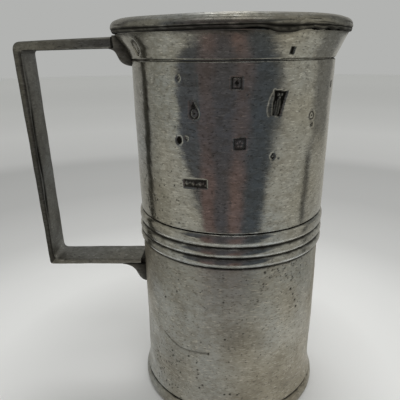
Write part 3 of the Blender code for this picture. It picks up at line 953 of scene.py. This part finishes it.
# lugs: (drop below the bar's underside, distance of the face from the vessel's axis), in mm
UPPER_DROPS = ((0.15, 56.3), (0.5, 54.9), (1.0, 53.8), (1.9, 53.0), (3.2, 52.4), (5.4, 51.5),
               (6.7, 50.4), (7.5, 48.9), (7.9, 47.1))
LOWER_DROPS = ((0.15, 57.0), (0.4, 55.2), (0.9, 53.4), (1.9, 51.7), (3.5, 50.2), (6.5, 48.9),
               (9.5, 47.8), (11.3, 46.7), (12.1, 45.5))
LUG_TIP_HALF = 4.2 * MM
LUG_ROWS, LUG_COLUMNS, BLOCK_ROWS = 40, 30, 12
LUG_CLEARANCE = 0.12 * MM    # between a lug's back and the wall
LUG_ROUNDING = 1.1 * MM      # how far the face falls back at its two edges


def smooth_drops(drops):
    """Evenly spaced (drop, face) pairs read from the few given, in metres, with soft bends."""
    pairs = evenly_along(np.array(drops) * MM, LUG_ROWS)
    for _ in range(6):
        pairs[1:-1] = (pairs[:-2] + 2 * pairs[1:-1] + pairs[2:]) / 4
    return pairs


def lug_skin(name, under_z, drops, material, block_top=None, block_face=None):
    """Drip of pewter under a bar, fitted to the wall; a block above it may back the bar's end."""
    levels = []
    if block_top is not None:
        for i in range(BLOCK_ROWS):
            z = block_top + (under_z + 0.1 * MM - block_top) * i / (BLOCK_ROWS - 1)
            levels.append((z, block_face - 0.5 * MM * math.exp(-i / 1.5), HANDLE_HALF))
    deepest = drops[-1][0] * MM
    for drop, face in smooth_drops(drops):
        half = HANDLE_HALF + (LUG_TIP_HALF - HANDLE_HALF) * (drop / deepest) ** 3.5
        levels.append((under_z - drop, face, half))
    rings, grime_and_shade = [], []
    for z, face, half in levels:
        inner = wall_radius(z) + LUG_CLEARANCE
        ring, dirt_and_shade = [], []
        for step in range(LUG_COLUMNS + 1):
            y = half * (2 * step / LUG_COLUMNS - 1)
            ring.append((AXIS_X - math.sqrt(inner ** 2 - y ** 2) - mouth_lean(z), y, z))
            dirt_and_shade.append(0.9)
        for step in range(LUG_COLUMNS + 1):
            y = half * (1 - 2 * step / LUG_COLUMNS)
            edge = abs(y / half) ** 6
            front = max(face - LUG_ROUNDING * edge, math.sqrt(inner ** 2 - y ** 2) + 0.25 * MM)
            ring.append((AXIS_X - front - mouth_lean(z), y, z))
            dirt_and_shade.append(0.30 + 0.35 * edge)
        rings.append(ring)
        grime_and_shade.append(dirt_and_shade)
    mesh = tube_mesh(name, np.array(rings))
    give_grime_and_shade(mesh, np.array(grime_and_shade).ravel())
    return finish_mesh(name, mesh, material, recalculate=True, sharp=60)


def solder_bead(name, node, material):
    """Lumpy plate of solder squeezed out a little round the end of a bar."""
    low, high = spans(node)
    middle, size = (low + high) / 2, high - low
    bm = bmesh.new()
    bmesh.ops.create_cube(bm, size=1.0)
    bmesh.ops.subdivide_edges(bm, edges=bm.edges, cuts=9, use_grid_fill=True)
    chance = np.random.default_rng(len(name))
    phase = chance.uniform(0, math.tau, 3)
    for vert in bm.verts:
        push = 1.03 + 0.05 * math.sin(9 * vert.co.y + phase[0]) + 0.04 * math.sin(13 * vert.co.z + phase[1])
        vert.co = Vector((middle.x + vert.co.x * size.x,
                          middle.y + vert.co.y * size.y * push,
                          middle.z + vert.co.z * size.z * push))
    mesh = bpy.data.meshes.new(name)
    bm.to_mesh(mesh)
    bm.free()
    give_grime_and_shade(mesh, np.full(len(mesh.vertices), 0.7))
    return finish_mesh(name, mesh, material)


# ---------------------------------------------------------------- finishes
# what each kind of tarnish multiplies the metal's own colour by
COOL, WARM, DULL = (0.93, 1.0, 1.10), (1.04, 0.995, 0.91), (0.56, 0.54, 0.50)
BRIGHT_FLECK, DARK_SPECK = 1.5, 0.30
# black of the dirt and of the painted shade that the vertex attribute lays on
DIRT_AND_SHADE_COLOUR = (0.016, 0.015, 0.013)
BUMP_HEIGHT = 0.12 * MM


def tinted(tone, factors):
    return tuple(min(1.0, c * f) for c, f in zip(tone, factors))


def pewter_finish(name, tone, roughness, patch=0.25, lines=0.5, bump=0.3, mottling=0.65):
    """Old pewter: tarnish patches, fine turning lines, speckle, and dirt and painted shade where the vertex
    attribute lies.
    """
    material = bpy.data.materials.new(name)
    material.use_nodes = True
    nodes, links = material.node_tree.nodes, material.node_tree.links
    shader = nodes["Principled BSDF"]
    shader.inputs["Metallic"].default_value = 1.0
    where = nodes.new("ShaderNodeTexCoord")
    centred = nodes.new("ShaderNodeMapping")
    centred.inputs["Location"].default_value = (-AXIS_X, 0, 0)
    links.new(where.outputs["Object"], centred.inputs["Vector"])

    def noise(scale, detail, stretch=(1, 1, 1), rough=0.55):
        warp = nodes.new("ShaderNodeMapping")
        warp.inputs["Scale"].default_value = stretch
        links.new(centred.outputs[0], warp.inputs["Vector"])
        node = nodes.new("ShaderNodeTexNoise")
        node.inputs["Scale"].default_value = scale
        node.inputs["Detail"].default_value = detail
        node.inputs["Roughness"].default_value = rough
        links.new(warp.outputs[0], node.inputs["Vector"])
        return node.outputs["Fac"]

    def ranged(value, low, high, to_low, to_high):
        node = nodes.new("ShaderNodeMapRange")
        node.inputs["From Min"].default_value = low
        node.inputs["From Max"].default_value = high
        node.inputs["To Min"].default_value = to_low
        node.inputs["To Max"].default_value = to_high
        links.new(value, node.inputs["Value"])
        return node.outputs[0]

    def combine(operation, first, second):
        node = nodes.new("ShaderNodeMath")
        node.operation = operation
        links.new(first, node.inputs[0])
        if isinstance(second, bpy.types.NodeSocket):
            links.new(second, node.inputs[1])
        else:
            node.inputs[1].default_value = second
        return node.outputs[0]

    def blend(factor, first, second):
        node = nodes.new("ShaderNodeMix")
        node.data_type = "RGBA"
        links.new(factor, node.inputs["Factor"])
        for socket, value in ((node.inputs[6], first), (node.inputs[7], second)):
            if isinstance(value, bpy.types.NodeSocket):
                links.new(value, socket)
            else:
                socket.default_value = (*value, 1.0)
        return node.outputs[2]

    tarnish = ranged(noise(42, 5, (1, 1, 0.8)), 0.44, 0.70, 0, patch)
    warm = ranged(noise(18, 2), 0.40, 0.62, 0, 1)
    speckle = ranged(noise(1100, 2, (0.6, 0.6, 1.3)), 0.58, 0.70, 0, 0.75)
    bright_fleck = ranged(noise(760, 3, (0.5, 0.5, 2.2)), 0.56, 0.72, 0, 0.75)
    fine_lines = noise(1, 4, (22, 22, 2100), 0.65)
    broad_lines = noise(1, 2, (10, 10, 520), 0.5)
    mottle = noise(340, 5, (0.75, 0.75, 1.2), 0.7)
    smudge = noise(120, 4, (1, 1, 0.6))
    dirt_and_shade = nodes.new("ShaderNodeAttribute")
    dirt_and_shade.attribute_name = "grime_and_shade"
    grime_and_shade = dirt_and_shade.outputs["Fac"]

    dull = tinted(tone, DULL)
    colour = blend(warm, tinted(tone, COOL), tinted(tone, WARM))
    colour = blend(tarnish, colour, dull)
    colour = blend(ranged(mottle, 0.42, 0.62, 0, mottling), colour, dull)
    colour = blend(combine("MULTIPLY", ranged(fine_lines, 0.35, 0.7, 0, 0.35), lines), colour, dull)
    colour = blend(bright_fleck, colour, tinted(tone, [BRIGHT_FLECK] * 3))
    colour = blend(speckle, colour, tinted(tone, [DARK_SPECK] * 3))
    # dirt and painted shade from the vertex attribute
    colour = blend(grime_and_shade, colour, DIRT_AND_SHADE_COLOUR)
    links.new(colour, shader.inputs["Base Color"])

    rough = ranged(smudge, 0.3, 0.7, roughness * 0.75, roughness * 1.25)
    rough = combine("ADD", rough, combine("MULTIPLY", tarnish, 0.25))
    rough = combine("ADD", rough, combine("MULTIPLY", grime_and_shade, 0.4))
    links.new(rough, shader.inputs["Roughness"])

    relief = combine("MULTIPLY", fine_lines, 0.5 * lines)
    relief = combine("ADD", relief, combine("MULTIPLY", broad_lines, 0.8 * lines))
    relief = combine("ADD", relief, combine("MULTIPLY", mottle, 0.9))
    relief = combine("ADD", relief, combine("MULTIPLY", smudge, 0.8))
    raised = nodes.new("ShaderNodeBump")
    raised.inputs["Strength"].default_value = bump
    raised.inputs["Distance"].default_value = BUMP_HEIGHT
    links.new(relief, raised.inputs["Height"])
    links.new(raised.outputs[0], shader.inputs["Normal"])
    return material


def angles_of(points):
    """Angle of each point round the vessel, 0 at its front."""
    return np.arctan2(points[:, 0] - AXIS_X, -points[:, 1])


def line_grime_and_shade(piece, lines, base=0.05):
    """Dirt and painted shade round given (height, reach) lines of a turned ring."""
    mesh = piece.data
    points = coordinates(mesh)
    height = points[:, 2]
    angle = angles_of(points)
    grime_and_shade = np.full(len(height), base)
    for line, reach in lines:
        start = 2000 * line
        width = 1 + 0.22 * np.sin(5 * angle + start) + 0.18 * np.sin(13 * angle + 3 * start)
        width += 0.16 * np.sin(37 * angle + 5 * start) + 0.12 * np.sin(61 * angle + 7 * start)
        grime_and_shade = np.maximum(grime_and_shade, 0.97 * np.exp(-((height - line) / (reach * width)) ** 2))
    give_grime_and_shade(mesh, grime_and_shade)


# nicks in the rim: (angle from, angle to in degrees, height above the rim's underside, mm)
RIM_NICKS = ((36, 52, 2.3), (40, 70, 1.5), (55, 78, 3.2), (33, 41, 3.6), (100, 118, 2.0),
             (170, 182, 2.6), (230, 246, 1.8), (-64, -52, 2.9))
NICK_DEPTH, NICK_HALF = 0.22 * MM, 0.28 * MM
DENT_DEPTH = 0.75 * MM
# the rim's lower edge: how far, in mm, it is worn up, torn down and frayed
WORN_UP, TORN_DOWN, FRAYED = 0.45, 1.2, 0.35


def knock_rim(piece):
    """Leans the rim with the knocked mouth and adds its waves, dent and nicks."""
    mesh = piece.data
    points = coordinates(mesh)
    angle = angles_of(points)
    radius = np.hypot(points[:, 0] - AXIS_X, points[:, 1])
    height = points[:, 2].copy()
    grime_and_shade = np.empty(len(points), dtype=np.float32)
    mesh.attributes["grime_and_shade"].data.foreach_get("value", grime_and_shade)
    outer = radius > SPIGOT_R + 0.6 * MM
    dent = over_stretch(angle, 26, 8)
    low_half = np.clip((RIM_BOTTOM + 2.8 * MM - height) / (1.2 * MM), 0, 1) * outer
    inwards = DENT_DEPTH * dent * low_half
    # painted shadow in the dent under the rim
    grime_and_shade = np.maximum(grime_and_shade, 0.85 * dent * low_half * (0.8 + 0.2 * np.sin(90 * angle)))
    for start, end, above in RIM_NICKS:
        along = over_stretch(angle, (start + end) / 2, (end - start) / 2)
        level = RIM_BOTTOM + above * MM + 0.2 * MM * np.sin(14 * angle + start)
        cut = along * np.exp(-((height - level) / NICK_HALF) ** 2) * outer
        inwards += NICK_DEPTH * cut
        grime_and_shade = np.maximum(grime_and_shade, 0.65 * cut)
    keep = (radius - inwards - mouth_squeeze(angle, height)) / radius
    points[:, 0] = AXIS_X + (points[:, 0] - AXIS_X) * keep - mouth_lean(height)
    points[:, 1] *= keep
    points[:, 2] += 0.12 * MM * np.sin(3 * angle + 0.6) + 0.07 * MM * np.sin(7 * angle + 2.1)
    edge = WORN_UP * over_stretch(angle, 11, 5) - TORN_DOWN * over_stretch(angle, 24, 7)
    edge += FRAYED * np.sin(41 * angle) * over_stretch(angle, 48, 14)
    share = np.clip((RIM_BOTTOM + 1.9 * MM - height) / (1.6 * MM), 0, 1) * outer
    points[:, 2] += share * edge * MM
    mesh.vertices.foreach_set("co", points.astype(np.float32).ravel())
    mesh.attributes["grime_and_shade"].data.foreach_set("value", grime_and_shade.astype(np.float32))
    mesh.update()


# ---------------------------------------------------------------- the measure
def dress(piece, slot, *nodes):
    """Puts a finished piece in place of its CAD nodes."""
    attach(piece, "root")
    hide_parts(*nodes)


def build_measure():
    body = pewter_finish("rubbed_pewter", (0.565, 0.555, 0.505), 0.12, lines=0.9, bump=0.4)
    worn = pewter_finish("worn_pewter", (0.50, 0.475, 0.41), 0.38, patch=0.55, lines=0.6, bump=0.7,
                         mottling=0.5)
    rim = pewter_finish("rim_pewter", (0.41, 0.405, 0.37), 0.22, patch=0.35)
    inside = pewter_finish("dull_inside_pewter", (0.40, 0.39, 0.35), 0.42, patch=0.5)
    handle = pewter_finish("hand_darkened_pewter", (0.265, 0.265, 0.25), 0.33, patch=0.5, lines=0.0)
    lug = pewter_finish("lug_pewter", (0.70, 0.695, 0.67), 0.36, patch=0.45, lines=0.0)
    solder = pewter_finish("dull_solder", (0.36, 0.36, 0.34), 0.50, patch=0.5, lines=0.0)

    dress(upper_barrel_skin(body), "pewter_body", "upper_barrel")
    dress(lower_barrel_skin(worn), "pewter_body", "lower_barrel")
    dress(collar_skin(body), "pewter_body", "lip_collar")

    girdle = turned_ring("girdle_reeds", girdle_section(), body, columns=420, rows=190,
                         unevenness=0.35 * MM)
    # dirt and painted shade in the grooves between the reeds
    line_grime_and_shade(girdle, [(edge, 0.70 * MM) for edge in REED_EDGES[:-1]]
               + [(GIRDLE_HIGH + 0.1 * MM, 0.30 * MM)])
    dress(girdle, "pewter_body", "girdle")

    foot = turned_ring("foot_ring_turned", foot_section(), worn, columns=360, rows=120,
                       unevenness=0.4 * MM)
    # darker along the foot's top, and painted shade along its edge on the ground
    line_grime_and_shade(foot, [(FOOT_TOP, 0.6 * MM), (0.0, 0.5 * MM)], base=0.12)
    dress(foot, "pewter_body", "foot_ring")

    band = turned_ring("rim_band", rim_section(), rim, columns=420, rows=170,
                       unevenness=0.35 * MM)
    # painted shade in the groove and the undercut under the bead
    line_grime_and_shade(band, [(RIM_BOTTOM + 1.4 * MM, 0.6 * MM), (RIM_BOTTOM, 1.1 * MM)], base=0.08)
    knock_rim(band)
    dress(band, "pewter_rim", "rim_moulding")

    floor = turned_ring("floor_plate_turned", floor_section(), inside, columns=240, rows=150,
                        unevenness=0.0)
    line_grime_and_shade(floor, [], base=0.18)
    dress(floor, "pewter_inside", "base_plate")

    fillet = turned_ring("floor_solder_fillet", fillet_section(), solder, columns=300, rows=40,
                         unevenness=0.5 * MM)
    line_grime_and_shade(fillet, [], base=0.3)
    dress(fillet, "solder", "base_seam_solder")

    dress(strap_skin(handle), "pewter_handle", "handle_strap")
    upper = lug_skin("upper_lug_drip", TOP_BAR[0][1] * MM, UPPER_DROPS, lug,
                     RIM_BOTTOM - 0.4 * MM, 53.9 * MM)
    dress(upper, "pewter_handle", "upper_lug")
    lower = lug_skin("lower_lug_drip", LOW_BAR[0][1] * MM, LOWER_DROPS, lug)
    dress(lower, "pewter_handle", "lower_lug")
    for node in ("upper_bar_solder", "lower_bar_solder"):
        dress(solder_bead(node + "_bead", node, solder), "solder", node)
    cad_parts["mid_seam_solder"].data.materials.clear()
    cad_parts["mid_seam_solder"].data.materials.append(solder)


# ---------------------------------------------------------------- studio
FLOOR_SHOWN_R = 3.0
# painted light and shade of the floor: its grey at a distance from the middle, in metres
FLOOR_LIGHT_AND_SHADE_GREYS = ((0.0, 0.71), (0.075, 0.71), (0.12, 0.80), (0.165, 0.71), (0.22, 0.555),
               (0.30, 0.48), (0.34, 0.445), (0.50, 0.435), (0.56, 0.55), (0.8, 0.72),
               (1.2, 0.84), (2.2, 0.93))


def floor_light_and_shade_finish():
    """Matt pale material whose tone, painted light and shade, depends on the distance from the vessel."""
    material = bpy.data.materials.new("floor_painted_light_and_shade")
    material.use_nodes = True
    nodes, links = material.node_tree.nodes, material.node_tree.links
    shader = nodes["Principled BSDF"]
    shader.inputs["Roughness"].default_value = 0.85
    shader.inputs["Specular IOR Level"].default_value = 0.2
    where = nodes.new("ShaderNodeTexCoord")
    reach = nodes.new("ShaderNodeVectorMath")
    reach.operation = "LENGTH"
    links.new(where.outputs["Object"], reach.inputs[0])
    ramp = nodes.new("ShaderNodeValToRGB")
    scaled = nodes.new("ShaderNodeMath")
    scaled.operation = "MULTIPLY"
    scaled.inputs[1].default_value = 1 / FLOOR_SHOWN_R
    links.new(reach.outputs["Value"], scaled.inputs[0])
    links.new(scaled.outputs[0], ramp.inputs["Fac"])
    while len(ramp.color_ramp.elements) < len(FLOOR_LIGHT_AND_SHADE_GREYS):
        ramp.color_ramp.elements.new(0.5)
    for element, (distance, grey) in zip(ramp.color_ramp.elements, FLOOR_LIGHT_AND_SHADE_GREYS):
        element.position = distance / FLOOR_SHOWN_R
        element.color = (grey, grey, grey * 0.985, 1.0)
    links.new(ramp.outputs["Color"], shader.inputs["Base Color"])
    return material


def build_floor():
    bm = bmesh.new()
    bmesh.ops.create_circle(bm, cap_ends=True, segments=96, radius=FLOOR_SHOWN_R)
    mesh = bpy.data.meshes.new("floor")
    bm.to_mesh(mesh)
    bm.free()
    floor = bpy.data.objects.new("floor", mesh)
    bpy.context.scene.collection.objects.link(floor)
    floor.data.materials.append(floor_light_and_shade_finish())


def smooth(value, low, high):
    """0 below low, 1 above high, and an S-curve between them."""
    share = min(1.0, max(0.0, (value - low) / (high - low)))
    return share * share * (3 - 2 * share)


# upright bands of the reflected room: (azimuth in degrees from the front, tone)
ROOM_BANDS = (
    (-180, (0.36, 0.36, 0.34)), (-135, (0.34, 0.34, 0.32)), (-102, (0.31, 0.31, 0.30)),
    (-99, (0.09, 0.09, 0.10)), (-93, (0.09, 0.09, 0.10)), (-89, (0.30, 0.295, 0.27)),
    (-72, (0.335, 0.33, 0.295)), (-64, (0.38, 0.37, 0.33)), (-52, (0.40, 0.39, 0.345)),
    (-48, (0.104, 0.108, 0.118)), (-30, (0.10, 0.104, 0.112)), (-26, (0.20, 0.145, 0.14)),
    (-17, (0.18, 0.13, 0.125)), (-13, (0.105, 0.10, 0.11)), (2, (0.11, 0.105, 0.115)),
    (7, (0.22, 0.155, 0.145)), (15, (0.19, 0.14, 0.135)), (19, (0.092, 0.10, 0.11)),
    (36, (0.088, 0.098, 0.108)), (44, (0.16, 0.16, 0.155)), (49, (0.41, 0.40, 0.365)),
    (60, (0.46, 0.455, 0.415)), (84, (0.43, 0.425, 0.39)), (90, (0.22, 0.22, 0.21)),
    (118, (0.20, 0.20, 0.19)), (125, (0.38, 0.375, 0.35)), (150, (0.44, 0.43, 0.40)),
    (180, (0.36, 0.36, 0.34)),
)
LIGHT_TONE = (0.44, 0.43, 0.39)
LOW_SIDE_TONE = (0.396, 0.387, 0.351)
DARK_TONE = (0.098, 0.096, 0.102)
GLINT_TONE = (1.25, 1.25, 1.25)                # lights the shoulder of the top reed
BEHIND_TONE = (0.9, 0.9, 0.9)                  # lights the lip's flare at the back
ROOM_RADIUS, ROOM_TOP = 0.13, 0.30
# sides of the dark middle low down: heights in metres, azimuths in degrees
LEFT_HEIGHTS, LEFT_SIDE = (0.04, 0.075, 0.095, 0.12), (-26, -30, -42, -51)
RIGHT_HEIGHTS, RIGHT_SIDE = (0.04, 0.075, 0.12, 0.155), (24, 33, 40, 47)


def towards(tone, other, share):
    """A tone moved a share of the way to another."""
    return [t + (o - t) * share for t, o in zip(tone, other)]


def low_lift(azimuth, height):
    """How far the front of the room is lightened, low down beside its dark middle and at its ends."""
    left = np.interp(height, LEFT_HEIGHTS, LEFT_SIDE)
    right = np.interp(height, RIGHT_HEIGHTS, RIGHT_SIDE)
    inside = smooth(azimuth, left - 3, left + 3) * (1 - smooth(azimuth, right - 3, right + 4))
    beside = 1 - inside if left - 30 < azimuth < right + 30 else 0.0
    return max(beside * (1 - smooth(height, 0.10, 0.13)),
               0.6 * (1 - smooth(height, 0.0, 0.07)), 0.45 * smooth(height, 0.19, 0.25))


def room_tone(azimuth, height):
    """Tone of the reflected room: the dark middle narrows and fades towards the floor."""
    shift = 5 * (1 - smooth(height, 0.08, 0.15)) if azimuth > -8 else 0.0
    places = [place for place, _ in ROOM_BANDS]
    tone = [float(np.interp(azimuth + shift, places, [t[c] for _, t in ROOM_BANDS]))
            for c in range(3)]
    if -28 < azimuth < 20:
        tone = towards(tone, DARK_TONE, 0.62 * smooth(height, 0.085, 0.125))
    if abs(azimuth) < 80:
        tone = towards(tone, LIGHT_TONE, low_lift(azimuth, height))
    glint = smooth(height, 0.236, 0.244) * (1 - smooth(height, 0.262, 0.270))
    tone = towards(tone, GLINT_TONE, glint * (1 - smooth(abs(azimuth), 24, 34)))
    behind = smooth(abs(azimuth), 155, 168) * smooth(height, 0.185, 0.195)
    tone = towards(tone, BEHIND_TONE, behind)
    if height < 0.125 and azimuth > 88:
        tone = towards(tone, LOW_SIDE_TONE, 1 - smooth(height, 0.10, 0.125))
    if 79 < azimuth < 86 and 0.06 < height < 0.108:
        tone = [0.30 * t for t in tone]
    return tone


def glossy_only(item):
    """Seen only in reflections, so that it never shows or shades the floor."""
    item.visible_camera = False
    item.visible_diffuse = False
    item.visible_shadow = False
    item.visible_transmission = False
    item.visible_volume_scatter = False


def build_reflected_room():
    """Ring of soft upright light and dark bands that the metal mirrors."""
    columns, rows = 360, 90
    points, tones = [], []
    for row in range(rows + 1):
        height = ROOM_TOP * (row / rows) ** 1.3
        for column in range(columns):
            azimuth = -180 + 360 * column / columns
            turn = math.radians(azimuth)
            points.append((AXIS_X + ROOM_RADIUS * math.sin(turn),
                           -ROOM_RADIUS * math.cos(turn), height))
            tones.append(room_tone(azimuth, height))
    faces = []
    for row in range(rows):
        for column in range(columns):
            beside = (column + 1) % columns
            faces.append((row * columns + column, row * columns + beside,
                          (row + 1) * columns + beside, (row + 1) * columns + column))
    mesh = bpy.data.meshes.new("reflected_room")
    mesh.from_pydata(points, [], faces)
    layer = mesh.color_attributes.new("tone", "FLOAT_COLOR", "POINT")
    layer.data.foreach_set("color", np.array([(*t, 1.0) for t in tones], dtype=np.float32).ravel())
    material = bpy.data.materials.new("room_bands")
    material.use_nodes = True
    nodes, links = material.node_tree.nodes, material.node_tree.links
    nodes.clear()
    tone = nodes.new("ShaderNodeAttribute")
    tone.attribute_name = "tone"
    glow = nodes.new("ShaderNodeEmission")
    out = nodes.new("ShaderNodeOutputMaterial")
    links.new(tone.outputs["Color"], glow.inputs["Color"])
    links.new(glow.outputs[0], out.inputs["Surface"])
    mesh.materials.append(material)
    room = bpy.data.objects.new("reflected_room", mesh)
    bpy.context.scene.collection.objects.link(room)
    glossy_only(room)


# place from the vessel's axis, height aimed at, size, watts
LIGHTS = {
    "front_fill": ((0.15, -0.72, 0.98), 0.03, (0.8, 0.6), 3.15),
    "side_fill": ((0.55, 0.14, 0.66), 0.03, (0.35, 0.35), 0.8),
    "back_sky": ((-0.05, 0.42, 0.80), 0.15, (0.6, 0.25), 2.1),
    "crest_glint": ((-0.03, 0.42, 0.80), 0.18, (0.20, 0.30), 0.36),
    "overhead_strip": ((-0.01, -0.16, 0.95), 0.10, (0.40, 0.16), 0.3),
}
NOT_MIRRORED = ("front_fill", "side_fill", "back_sky")


def area_light(name):
    place, aim_height, size, watts = LIGHTS[name]
    data = bpy.data.lights.new(name, "AREA")
    data.shape = "RECTANGLE"
    data.size, data.size_y = size
    data.energy = watts
    light = bpy.data.objects.new(name, data)
    light.location = (AXIS_X + place[0], place[1], place[2])
    aim = Vector((AXIS_X, 0, aim_height)) - light.location
    light.rotation_euler = aim.to_track_quat("-Z", "Y").to_euler()
    light.visible_glossy = name not in NOT_MIRRORED
    light.visible_camera = name != "crest_glint"
    bpy.context.scene.collection.objects.link(light)


def build_studio():
    """Soft lights, a plain floor, and the room that the metal mirrors."""
    world = bpy.data.worlds.new("studio")
    world.use_nodes = True
    sky = world.node_tree.nodes["Background"]
    sky.inputs["Color"].default_value = (0.445, 0.45, 0.44, 1)
    sky.inputs["Strength"].default_value = 1.0
    bpy.context.scene.world = world
    bpy.context.scene.view_settings.view_transform = "Standard"
    build_floor()
    build_reflected_room()
    for name in LIGHTS:
        area_light(name)


# the camera's turns are in degrees
CAMERA_PLACE = (AXIS_X, -0.2155, 0.1745)
CAMERA_DOWN, CAMERA_LEFT, CAMERA_ROLL = 18.98, 4.1, -0.6
CAMERA_LENS = 39.8


def build_camera():
    data = bpy.data.cameras.new("view")
    data.lens = CAMERA_LENS
    data.sensor_width = 36.0
    data.clip_start = 0.01
    camera = bpy.data.objects.new("view", data)
    turn = Matrix.Rotation(math.radians(CAMERA_LEFT), 4, "Z")
    turn = turn @ Matrix.Rotation(math.radians(90 - CAMERA_DOWN), 4, "X")
    turn = turn @ Matrix.Rotation(math.radians(CAMERA_ROLL), 4, "Z")
    camera.matrix_world = Matrix.Translation(CAMERA_PLACE) @ turn
    bpy.context.scene.collection.objects.link(camera)
    bpy.context.scene.camera = camera


build_measure()
build_studio()
build_camera()
